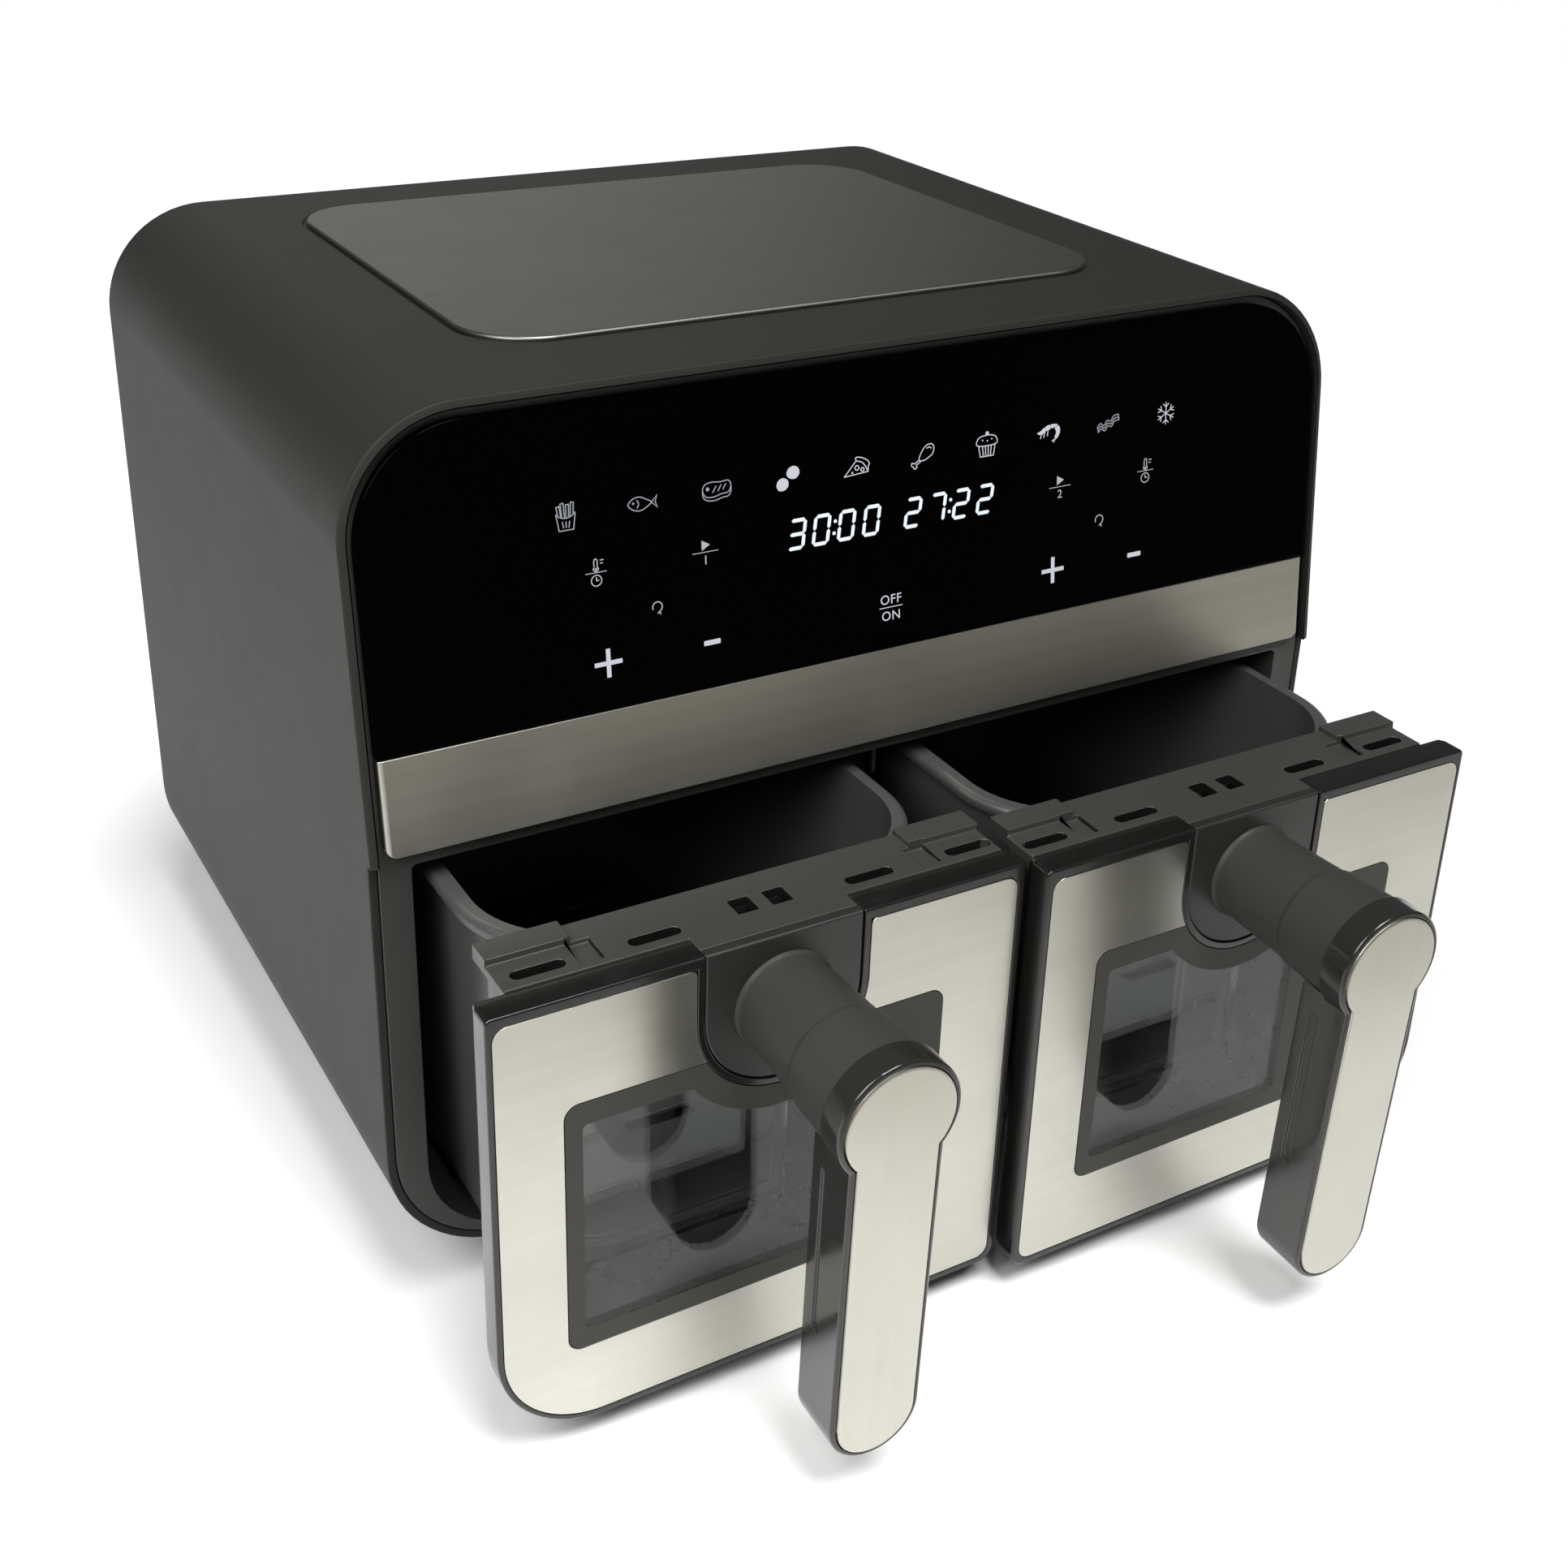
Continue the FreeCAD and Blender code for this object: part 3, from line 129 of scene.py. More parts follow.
def shaded(color, share):
    return tuple(c * share for c in color)


def driftColor(tree, shader, source, look):
    # the look's colour, a little darker and lighter from place to place
    darker, lighter = (shaded(look["color"], 1 + drift) for drift in (-look["drift"], look["drift"]))
    setInputs(shader, {"Base Color": blendColors(tree, spread(tree, source, 0, 1), darker, lighter)})


def varyGloss(tree, shader, source, look):
    setInputs(shader, {"Roughness": spread(tree, source, *look["roughness"])})


def addRelief(tree, shader, source, height):
    bump = addNode(tree, "ShaderNodeBump", {"Strength": 1.0, "Distance": height, "Height": source})
    setInputs(shader, {"Normal": bump.outputs["Normal"]})


def mouldedPlastic(tree, shader, look):
    # eroded mould texture, faint marks from handling, slight drift of shade over the piece
    grain = noise(tree, look["grain"], 3.0, 0.6)
    marks = noise(tree, look["marks"], 4.0, 0.65)
    driftColor(tree, shader, noise(tree, textureSize["shadeDrift"], 1.0), look)
    varyGloss(tree, shader, marks, look)
    setInputs(shader, {"Specular IOR Level": look["specular"], "IOR": look["ior"]})
    addRelief(tree, shader, grain, look["grainHeight"])


def brushedMetal(tree, shader, look):
    # fine lines along one axis, with broader faint bands and soft cloudy marks; gloss smears across the lines
    along = {"x": (look["lineLength"], 1, 1), "z": (1, 1, look["lineLength"])}[look["along"]]
    across = addNode(tree, "ShaderNodeCombineXYZ", {"Z" if look["along"] == "x" else "X": 1})
    setInputs(shader, {"Tangent": across.outputs["Vector"], "Anisotropic": look["smear"], "Metallic": 1.0})
    lines = noise(tree, look["line"], 3.0, 0.7, along)
    bands = noise(tree, look["line"] * textureShare["bands"], 2.0, 0.5, along)
    brushing = calculated(tree, "MULTIPLY_ADD", lines, 0.5, calculated(tree, "MULTIPLY", bands, 0.5))
    driftColor(tree, shader, brushing, look)
    varyGloss(tree, shader, noise(tree, textureSize["steelClouds"], 3.0, 0.6), look)
    addRelief(tree, shader, brushing, look["lineHeight"])


def coatedSteel(tree, shader, look):
    # dark baked coating with a light orange peel and sparse pale flecks
    flecks = pattern(tree, "ShaderNodeTexVoronoi", look["fleckSpacing"])
    speck = spread(tree, flecks.outputs["Distance"], 1, 0, *textureShare["fleckEdge"])
    setInputs(shader, {"Base Color": blendColors(tree, speck, look["color"], look["fleck"]),
                       "Metallic": look["metallic"], "Specular IOR Level": look["specular"]})
    varyGloss(tree, shader, noise(tree, textureSize["coatClouds"], 4.0), look)
    addRelief(tree, shader, noise(tree, textureSize["orangePeel"], 2.0), textureSize["peelHeight"])


def plainMetal(tree, shader, look):
    # drawn or pressed metal: cloudy tone, patches of heat or zinc tint, tiny pits
    patches = pattern(tree, "ShaderNodeTexVoronoi", look["patch"], Randomness=1.0)
    split = addNode(tree, "ShaderNodeSeparateColor", {"Color": patches.outputs["Color"]})
    tinted = blendColors(tree, split.outputs["Red"], look["color"], look["tint"])
    setInputs(shader, {"Base Color": tinted, "Metallic": 1.0})
    varyGloss(tree, shader, noise(tree, look["patch"] * textureShare["clouds"], 4.0), look)
    addRelief(tree, shader, noise(tree, textureSize["pits"], 2.0), textureSize["pitHeight"])


def printedInk(tree, shader, look):
    # print lit from behind: even light with a fine screen grain
    screen = spread(tree, noise(tree, textureSize["inkScreen"], 1.0), 0, 1)
    lit = blendColors(tree, screen, shaded(look["color"], textureShare["inkScreen"]), look["color"])
    unlit = shaded(look["color"], textureShare["unlitInk"])
    setInputs(shader, {"Base Color": (*unlit, 1), "Emission Color": lit, "Emission Strength": look["light"],
                       "Specular IOR Level": 0.1, "Roughness": 0.4})


def clearGlass(tree, shader, look):
    setInputs(shader, {"Base Color": (*look["color"], 1), "Transmission Weight": 1.0, "IOR": look["ior"]})
    varyGloss(tree, shader, noise(tree, textureSize["glassFilm"], 4.0, 0.6), look)


def circuitBoard(tree, shader, look):
    # solder mask with copper tracks just visible under it
    tracks = pattern(tree, "ShaderNodeTexBrick", textureSize["boardTracks"])
    setInputs(tracks, {"Mortar Size": look["trackWidth"], "Mortar Smooth": look["trackSmooth"]})
    setInputs(shader, {"Base Color": blendColors(tree, tracks.outputs["Fac"], look["color"], look["track"])})
    varyGloss(tree, shader, noise(tree, textureSize["boardWeave"], 2.0), look)
    addRelief(tree, shader, tracks.outputs["Fac"], textureSize["trackHeight"])


plastic = dict(drift=0.1, grain=0.0005, grainHeight=1e-5, marks=0.01, specular=0.5, ior=1.5)
plasticLooks = {
    "charcoal_shell": dict(plastic, color=(0.0162, 0.0166, 0.0146), drift=0.03, grain=0.0006, marks=0.02,
                           roughness=(0.53, 0.56), ior=1.28),
    "black_plastic": dict(plastic, color=(0.012, 0.012, 0.0112), drift=0.12, grain=0.0007,
                          grainHeight=6e-6, marks=0.012, roughness=(0.24, 0.36)),
    "grey_black_plastic": dict(plastic, color=(0.0165, 0.0168, 0.0152), drift=0.08, marks=0.015,
                               roughness=(0.36, 0.46), specular=0.45),
    "neckPlastic": dict(plastic, color=(0.036, 0.0366, 0.0336), drift=0.08, grainHeight=8e-6,
                        marks=0.015, roughness=(0.4, 0.48), specular=0.15),
    "capPlastic": dict(plastic, color=(0.037, 0.0376, 0.0344), drift=0.08, grain=0.0006,
                       grainHeight=6e-6, roughness=(0.28, 0.38)),
    "framePlastic": dict(plastic, color=(0.031, 0.0315, 0.029), drift=0.08, marks=0.015,
                         roughness=(0.36, 0.46), specular=0.45),
    "glossRim": dict(plastic, color=(0.008, 0.0082, 0.0074), grain=0.003, grainHeight=4e-6,
                     marks=0.012, roughness=(0.14, 0.24)),
    "black_gloss_grip": dict(plastic, color=(0.017, 0.0174, 0.0156), grain=0.004, roughness=(0.08, 0.16)),
    "black_gloss_panel": dict(plastic, color=(0.0004, 0.0004, 0.0004), grain=0.006, grainHeight=2e-6,
                              marks=0.03, roughness=(0.06, 0.1), specular=0.012),
    "display_housing": dict(plastic, color=(0.02, 0.02, 0.02), grain=0.0006, grainHeight=3e-5,
                            roughness=(0.4, 0.5), specular=0.4),
    "black_rubber": dict(plastic, color=(0.018, 0.018, 0.018), drift=0.15, grain=0.0004,
                         grainHeight=8e-5, marks=0.008, roughness=(0.7, 0.85), specular=0.3),
    "componentPlastic": dict(plastic, color=(0.02, 0.021, 0.024), drift=0.15, marks=0.006,
                             roughness=(0.35, 0.5)),
    "dark_silicone": dict(plastic, color=(0.03, 0.03, 0.03), grainHeight=2e-5, roughness=(0.45, 0.6),
                          specular=0.4),
    "windowBorder": dict(plastic, color=(0.046, 0.0455, 0.04), drift=0.05, grain=0.002,
                         grainHeight=3e-6, marks=0.02, roughness=(0.3, 0.38), specular=0.1),
}
steel = dict(drift=0.035, along="x", line=0.0004, lineLength=220, lineHeight=8e-7)
steelLooks = {
    "brushed_steel_front": dict(steel, color=(0.525, 0.515, 0.458), smear=0.8, roughness=(0.27, 0.33)),
    "brushed_steel_trim": dict(steel, color=(0.42, 0.408, 0.358), drift=0.06, smear=0.75,
                               roughness=(0.34, 0.42)),
    "brushed_steel_insert": dict(steel, color=(0.485, 0.474, 0.418), along="z", smear=0.6,
                                 roughness=(0.3, 0.38)),
    "grey_satin_metal": dict(steel, color=(0.18, 0.184, 0.166), drift=0.08, line=0.0005, lineLength=4,
                             lineHeight=4e-6, smear=0.0, roughness=(0.385, 0.405)),
}
coatLooks = {
    "nonstick_dark": dict(color=(0.05, 0.05, 0.049), fleck=(0.12, 0.12, 0.12), fleckSpacing=0.0016,
                          metallic=0.0, specular=0.5, roughness=(0.3, 0.42)),
    "dark_coated_sheet": dict(color=(0.045, 0.045, 0.045), fleck=(0.09, 0.09, 0.09), fleckSpacing=0.002,
                              metallic=0.4, specular=0.5, roughness=(0.35, 0.5)),
}
metalLooks = {
    "heater_steel": dict(color=(0.2, 0.18, 0.16), tint=(0.3, 0.26, 0.22), patch=0.012, roughness=(0.35, 0.5)),
    "plated_sheet": dict(color=(0.46, 0.47, 0.48), tint=(0.58, 0.59, 0.6), patch=0.006,
                         roughness=(0.3, 0.45)),
    "motor_can": dict(color=(0.22, 0.22, 0.23), tint=(0.27, 0.27, 0.28), patch=0.01, roughness=(0.35, 0.5)),
    "fan_aluminium": dict(color=(0.7, 0.7, 0.7), tint=(0.78, 0.78, 0.77), patch=0.01, roughness=(0.3, 0.42)),
    "plated_fasteners": dict(color=(0.5, 0.5, 0.49), tint=(0.6, 0.6, 0.58), patch=0.002,
                             roughness=(0.22, 0.35)),
}
inkLooks = {
    "litDigits": dict(color=(0.84, 0.92, 1.0), light=1.0),
    "litSymbols": dict(color=(0.88, 0.90, 1.0), light=0.62),
    "dimSymbols": dict(color=(0.86, 0.90, 1.0), light=0.3),
    "faintSymbols": dict(color=(0.90, 0.92, 1.0), light=0.42),
}
glassLooks = {"clear_glass": dict(color=(0.95, 0.97, 0.96), roughness=(0.0, 0.01), ior=1.3)}
boardLooks = {"circuit_board": dict(color=(0.01, 0.075, 0.03), track=(0.03, 0.15, 0.06), trackWidth=0.06,
                                    trackSmooth=0.1, roughness=(0.3, 0.42))}
finishes = {}
for maker, looks in ((mouldedPlastic, plasticLooks), (brushedMetal, steelLooks), (coatedSteel, coatLooks),
                     (plainMetal, metalLooks), (printedInk, inkLooks), (clearGlass, glassLooks),
                     (circuitBoard, boardLooks)):
    for name, look in looks.items():
        finishes[name], tree, shader = newFinish(name)
        maker(tree, shader, look)
print("finishes made:", len(finishes))


def plainName(nodeName):
    return nodeName.removesuffix("_left").removesuffix("_right")


def setFinish(piece, name):
    piece.data.materials.clear()
    piece.data.materials.append(finishes[name])


def newObject(name, data):
    made = bpy.data.objects.new(name, data)
    bpy.context.scene.collection.objects.link(made)
    return made


def addPiece(name, mesh, body, finishName):
    piece = newObject(name, mesh)
    setFinish(piece, finishName)
    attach(piece, body)


def settled(piece):
    # the piece's modifiers made into its mesh
    bpy.context.view_layer.update()
    mesh = bpy.data.meshes.new_from_object(piece.evaluated_get(bpy.context.evaluated_depsgraph_get()))
    piece.modifiers.clear()
    piece.data = mesh


def meshOf(name, work):
    mesh = bpy.data.meshes.new(name)
    work.to_mesh(mesh)
    work.free()
    return mesh


def closedMesh(name, work):
    # the mesh with all its faces turned outwards
    bmesh.ops.recalc_face_normals(work, faces=work.faces)
    return meshOf(name, work)


rounding = {"merge": 0.002, "flat": 0.3, "sharp": 35, "segments": 2, "weight": 80, "stray": 0.8}
plateCorner = {"radius": 2.2, "segments": 5, "sharp": 60, "below": 0.1, "level": 0.99}  # of the steel plates
softEdges = {
    "outer_shell": 0.6, "front_frame": 0.4, "control_panel": 0.2, "steel_strip": 0.25, "top_panel": 0.3,
    "rear_cover": 0.3, "base_plate": 0.4, "drawer_front": 0.35, "face_plate": 0.2, "drawer_cap": 0.4,
    "handle_bib": 0.25, "handle_neck": 0.3, "handle_grip": 0.4, "handle_insert": 0.35, "crisper_plate": 0.4,
    "crisper_bumpers": 0.8, "touch_board": 0.2, "display_module": 0.2, "power_board": 0.3,
    "cavity_liner": 0.3, "motor_bracket": 0.3,
}
ownFinish = {"handle_insert": "brushed_steel_insert", "drawer_cap": "capPlastic", "drawer_front": "glossRim",
             "handle_neck": "neckPlastic", "front_frame": "framePlastic"}


def finishFor(nodeName):
    return ownFinish.get(plainName(nodeName), slotOf[nodeName])


def mergedCopy(nodeName):
    work = bmesh.new()
    work.from_mesh(nodes[nodeName].data)
    bmesh.ops.remove_doubles(work, verts=work.verts, dist=rounding["merge"] * mm)
    return work


def pulledBack(mesh, source, reach):
    # brings points that the rounding threw off the surface back onto it
    surface = BVHTree.FromPolygons([v.co for v in source.vertices], [f.vertices for f in source.polygons])
    for vertex in mesh.vertices:
        place, _, _, distance = surface.find_nearest(vertex.co)
        if distance > reach:
            vertex.co = place


def roundCorners(work, look):
    # rounds the sharp upper corners of a sheet, seen from the front
    top = max(vertex.co.z for vertex in work.verts) - look["below"] * mm
    corners = [edge for edge in work.edges if len(edge.link_faces) == 2 and edge.is_convex
               and abs((edge.verts[0].co - edge.verts[1].co).normalized().y) > look["level"]
               and edge.verts[0].co.z > top and edge.calc_face_angle() > math.radians(look["sharp"])]
    bmesh.ops.bevel(work, geom=corners, offset=look["radius"] * mm, segments=look["segments"], profile=0.5,
                    affect="EDGES")


def standFor(piece, nodeName):
    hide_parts(nodeName)
    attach(piece, nodes[nodeName]["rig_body"])


def softenedCopy(nodeName, edge):
    # a merged copy of a node with its sharp edges rounded off, which stands for the node
    source = nodes[nodeName]
    work = mergedCopy(nodeName)
    flat = math.radians(rounding["flat"])
    bmesh.ops.dissolve_limit(work, angle_limit=flat, verts=work.verts, edges=work.edges)
    if plainName(nodeName) == "face_plate":
        roundCorners(work, plateCorner)
    piece = newObject(nodeName + "_softened", meshOf(nodeName + "Softened", work))
    piece.data.shade_smooth()
    bevel = piece.modifiers.new("edges", "BEVEL")
    bevel.width = edge
    bevel.segments = rounding["segments"]
    bevel.limit_method = "ANGLE"
    bevel.angle_limit = math.radians(rounding["sharp"])
    bevel.use_clamp_overlap = False
    normals = piece.modifiers.new("shading", "WEIGHTED_NORMAL")
    normals.mode = "FACE_AREA"
    normals.weight = rounding["weight"]
    settled(piece)
    pulledBack(piece.data, source.data, rounding["stray"] * edge)
    setFinish(piece, finishFor(nodeName))
    if nodeName in accents:
        accentName, isAccent = accents[nodeName]
        piece.data.materials.append(finishes[accentName])
        for face in piece.data.polygons:
            face.material_index = int(isAccent(face))
    standFor(piece, nodeName)


def panelFrame():
    # a matrix on the panel's front, from the middle of its low edge: x along it, y up its slope, z out
    panel = nodes["control_panel"].data
    front = max((face for face in panel.polygons if face.normal.y < -0.9), key=lambda face: face.area)
    out = Vector((0, front.normal.y, front.normal.z)).normalized()
    up = Vector((0, out.z, -out.y))
    corners = [panel.vertices[i].co for face in panel.polygons if face.normal.dot(out) > 0.9999
               for i in face.vertices]
    low = min(corners, key=lambda co: co.dot(up))
    turn = Matrix((Vector((1, 0, 0)), up, out)).transposed().to_4x4()
    return Matrix.Translation(Vector((0, low.y, low.z))) @ turn


accentLook = {"lipLean": 0.985, "boardThick": 1.7, "slotFront": 20.6, "slotBack": 10.6, "slotEnds": 3,
              "upright": 0.5}
panelPlace = panelFrame()
panelOut = panelPlace.col[2].to_3d()
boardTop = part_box("power_board")[0].z + accentLook["boardThick"] * mm


def isLip(face):
    # the shell's front lip, beside and over the panel
    return face.normal.dot(panelOut) > accentLook["lipLean"] and face.center.z > panelPlace.col[3].z


def slotWallsPaintedShade(nodeName, look):
    # the upright walls of the slots and pockets in a drawer's cap, found from its back edge and its ends;
    # they take the darker gloss rim finish as painted shade in the pockets
    low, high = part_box(nodeName)
    ends = look["slotEnds"] * mm
    return lambda face: (abs(face.normal.z) < look["upright"] and low.x + ends < face.center.x < high.x - ends
                         and look["slotBack"] * mm < high.y - face.center.y < look["slotFront"] * mm)


accents = {"outer_shell": ("black_gloss_panel", isLip),
           "power_board": ("componentPlastic", lambda face: face.center.z > boardTop)}
# painted shade: the walls of the slots and pockets in each drawer's cap get the darker gloss rim finish
for side in sides:
    accents["drawer_cap_" + side] = ("glossRim", slotWallsPaintedShade("drawer_cap_" + side, accentLook))
for name, node in nodes.items():
    setFinish(node, finishFor(name))
    if slotOf[name] == "clear_glass":
        node.visible_shadow = False  # light falls through the panes
softened = [name for name in sorted(nodes) if plainName(name) in softEdges]
for name in softened:
    softenedCopy(name, softEdges[plainName(name)] * mm)
print("edges rounded on", len(softened), "pieces")


def ringOf(work, points):
    # corners of an outline, in millimetres
    return [work.verts.new((x * mm, y * mm, z * mm)) for x, y, z in points]


def joinRings(work, rings):
    # side faces from each ring of corners to the next
    for first, second in zip(rings, rings[1:]):
        for k in range(len(first)):
            after = (k + 1) % len(first)
            work.faces.new((first[k], first[after], second[after], second[k]))


def turned(work, profile, steps):
    # rings round the z axis, joined in the order of the profile (radius, height in millimetres)
    angles = [2 * math.pi * k / steps for k in range(steps)]
    rings = [ringOf(work, [(r * math.cos(a), r * math.sin(a), z) for a in angles]) for r, z in profile]
    joinRings(work, rings)
    return rings


def crossOutline(half, reach):
    # the twelve corners of a plus sign
    a, b = half, reach
    return [(b, -a), (b, a), (a, a), (a, b), (-a, b), (-a, a), (-b, a), (-b, -a), (-a, -a), (-a, -b), (a, -b),
            (a, -a)]


screwLook = {"head": 3.4, "headHeight": 1.8, "shank": 1.5, "thread": 1.22, "tip": 0.7, "pitch": 0.8,
             "length": 12, "crossHalf": 0.42, "crossReach": 1.5, "crossDepth": 1.2, "crossTaper": 0.7,
             "steps": 24, "largestTurn": math.pi / 2, "turnSeed": 7}
panHead = ((1, 0), (1, 0.3), (0.96, 0.55), (0.86, 0.8), (0.72, 0.94), (0.56, 1))  # shares of its size


def screwMesh(look):
    # pan head with a cross recess, over a threaded shank; its seat is at height 0 and its head points up
    work = bmesh.new()
    height, length, steps = look["headHeight"], look["length"], look["steps"]
    crests = range(1, 2 * int(length / look["pitch"]))
    thread = [(look["thread"] if k % 2 else look["shank"], k * look["pitch"] / 2 - length) for k in crests]
    head = [(look["head"] * r, height * h) for r, h in panHead]
    rings = turned(work, [(look["tip"], -length), *thread, (look["shank"], 0), *head], steps)
    work.faces.new(rings[0][::-1])
    cross = crossOutline(look["crossHalf"], look["crossReach"])
    taper = look["crossTaper"]
    rim = ringOf(work, [(x, y, height) for x, y in cross])
    pit = ringOf(work, [(x * taper, y * taper, height - look["crossDepth"]) for x, y in cross])
    edges = [work.edges.new((rim[k], rim[(k + 1) % len(rim)])) for k in range(len(rim))]
    edges += [work.edges.get((rings[-1][k], rings[-1][(k + 1) % steps])) for k in range(steps)]
    bmesh.ops.triangle_fill(work, edges=edges, use_beauty=True)
    joinRings(work, [rim, pit])
    work.faces.new(pit)
    return closedMesh("panScrew", work)


footLook = {"radius": 11, "sole": 9.2, "height": 18, "stud": 7, "studRise": 1.4, "edge": 1,
            "grooves": 3, "grooveWidth": 0.9, "grooveFloor": 0.6, "grooveDepth": 0.7, "grooveInner": 1.1,
            "grooveOuter": 1.9, "hollow": 2.6, "hollowDepth": 3, "chamfer": 0.3, "rim": (0.2, 0.5, 0.6),
            "steps": 32, "largestTurn": 0.0, "turnSeed": 1}


def footMesh(look):
    # tapered rubber foot with ring grooves in its sole and a hollow for its screw
    work = bmesh.new()
    hollow, c, e, top = look["hollow"], look["chamfer"], look["edge"], look["height"]
    profile = [(hollow, look["hollowDepth"]), (hollow, c), (hollow + c, 0)]
    first, last = hollow + look["grooveInner"], look["sole"] - look["grooveOuter"]
    for k in range(look["grooves"]):
        r = first + (last - first) * k / (look["grooves"] - 1)
        w, d = look["grooveWidth"] / 2, look["grooveDepth"]
        floor = w * look["grooveFloor"]
        profile += [(r - w, 0), (r - floor, d), (r + floor, d), (r + w, 0)]
    profile += [(look["sole"] - e, 0), (look["sole"] - 0.3 * e, 0.3 * e), (look["sole"], e)]
    under, inset, rise = look["rim"]
    profile += [(look["radius"] - under, top - rise), (look["radius"] - inset, top)]
    profile += [(look["stud"], top), (look["stud"], top + look["studRise"])]
    rings = turned(work, profile, look["steps"])
    work.faces.new(rings[0][::-1])
    work.faces.new(rings[-1])
    return closedMesh("ringFoot", work)


def copiesOnPoints(name, mesh, points, facing, look, finishName):
    # geometry nodes put a copy of the mesh on each point, facing one way and turned at random about it
    original = bpy.data.objects.new(name + "Original", mesh)
    places = bpy.data.meshes.new(name + "Places")
    places.from_pydata(points, [], [])
    piece = newObject(name, places)
    tree = bpy.data.node_groups.new(name + "Copies", "GeometryNodeTree")
    settings = {"Original": ("NodeSocketObject", original),
                "Largest turn": ("NodeSocketFloat", look["largestTurn"]),
                "Seed": ("NodeSocketInt", look["turnSeed"]), "Size": ("NodeSocketFloat", 1.0),
                "Finish": ("NodeSocketMaterial", finishes[finishName])}
    tree.interface.new_socket("Geometry", in_out="INPUT", socket_type="NodeSocketGeometry")
    sockets = {label: tree.interface.new_socket(label, in_out="INPUT", socket_type=kind).identifier
               for label, (kind, _) in settings.items()}
    tree.interface.new_socket("Geometry", in_out="OUTPUT", socket_type="NodeSocketGeometry")
    start, end, source, turn, about, spin, aim, copies, real, cover = (tree.nodes.new(kind) for kind in (
        "NodeGroupInput", "NodeGroupOutput", "GeometryNodeObjectInfo", "FunctionNodeRandomValue",
        "ShaderNodeCombineXYZ", "FunctionNodeEulerToRotation", "FunctionNodeRotateRotation",
        "GeometryNodeInstanceOnPoints", "GeometryNodeRealizeInstances", "GeometryNodeSetMaterial"))
    aim.inputs["Rotate By"].default_value = Vector((0, 0, 1)).rotation_difference(Vector(facing)).to_euler()
    for first, output, second, into in (
            (start, "Original", source, "Object"), (start, "Largest turn", turn, 3),
            (start, "Seed", turn, "Seed"), (turn, 1, about, "Z"), (about, "Vector", spin, "Euler"),
            (spin, "Rotation", aim, "Rotation"), (start, "Geometry", copies, "Points"),
            (source, "Geometry", copies, "Instance"), (aim, "Rotation", copies, "Rotation"),
            (start, "Size", copies, "Scale"), (copies, "Instances", real, "Geometry"),
            (real, "Geometry", cover, "Geometry"), (start, "Finish", cover, "Material"),
            (cover, "Geometry", end, "Geometry")):
        tree.links.new(first.outputs[output], second.inputs[into])
    modifier = piece.modifiers.new("copies", "NODES")
    modifier.node_group = tree
    for label, (_, value) in settings.items():
        modifier[sockets[label]] = value
    settled(piece)
    bpy.data.objects.remove(original)
    return piece


def islands(nodeName):
    # lowest and highest corner of each separate solid of a node
    work = mergedCopy(nodeName)
    left = set(work.verts)
    boxes = []
    while left:
        group, edge = set(), [left.pop()]
        while edge:
            vertex = edge.pop()
            group.add(vertex)
            near = {link.other_vert(vertex) for link in vertex.link_edges} & left
            left -= near
            edge += near
        boxes.append([[end(v.co[k] for v in group) for k in range(3)] for end in (min, max)])
    work.free()
    return sorted(boxes)


seats = [((low[0] + high[0]) / 2, high[1] - screwLook["headHeight"] * mm, (low[2] + high[2]) / 2)
         for low, high in islands("housing_screws")]
soles = [((low[0] + high[0]) / 2, (low[1] + high[1]) / 2, low[2]) for low, high in islands("rubber_feet")]
standFor(copiesOnPoints("rear_pan_screws", screwMesh(screwLook), seats, (0, 1, 0), screwLook,
                        "plated_fasteners"), "housing_screws")
standFor(copiesOnPoints("ringed_feet", footMesh(footLook), soles, (0, 0, 1), footLook, "black_rubber"),
         "rubber_feet")
print("screws and feet fitted")


def arc(centre, radius, start, end, steps):
    # points on a circle, angles in degrees
    angles = [math.radians(start + (end - start) * i / steps) for i in range(steps + 1)]
    return [(centre[0] + radius * math.cos(a), centre[1] + radius * math.sin(a)) for a in angles]


discSteps, cornerSteps = 24, 8


def disc(x, y, radius):
    return arc((x, y), radius, 0, 360, discSteps)[:-1]


def roundedBox(x0, x1, y0, y1, r):
    line = []
    for k, centre in enumerate(((x1 - r, y1 - r), (x0 + r, y1 - r), (x0 + r, y0 + r), (x1 - r, y0 + r))):
        line += arc(centre, r, 90 * k, 90 * k + 90, cornerSteps)
    return line


capTray = {"gap": 0.5, "sideGap": 2.2, "wall": 1.2, "floor": 1, "deep": 7, "corner": 2.5}


def fitCapTray(side, look):
    # shallow black tray under the drawer's cap, between the front and the tub, that closes the slots below
    front, cap, tub = (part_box(part + side) for part in ("drawer_front_", "drawer_cap_", "pot_"))
    x0, x1 = cap[0].x / mm + look["sideGap"], cap[1].x / mm - look["sideGap"]
    y0, y1 = front[1].y / mm + look["gap"], tub[0].y / mm - look["gap"]
    top, wall = tub[1].z / mm, look["wall"]
    outer = roundedBox(x0, x1, y0, y1, look["corner"])
    inner = roundedBox(x0 + wall, x1 - wall, y0 + wall, y1 - wall, look["corner"] - wall)
    low = top - look["deep"]
    work = bmesh.new()
    rings = [ringOf(work, [(x, y, z) for x, y in line])
             for line, z in ((outer, low), (outer, top), (inner, top), (inner, low + look["floor"]))]
    joinRings(work, rings)
    work.faces.new(rings[0][::-1])
    work.faces.new(rings[-1])
    addPiece("cap_tray_" + side, closedMesh("capTray", work), "drawer_" + side,
             "black_plastic")


for side in sides:
    fitCapTray(side, capTray)
print("cap trays fitted")


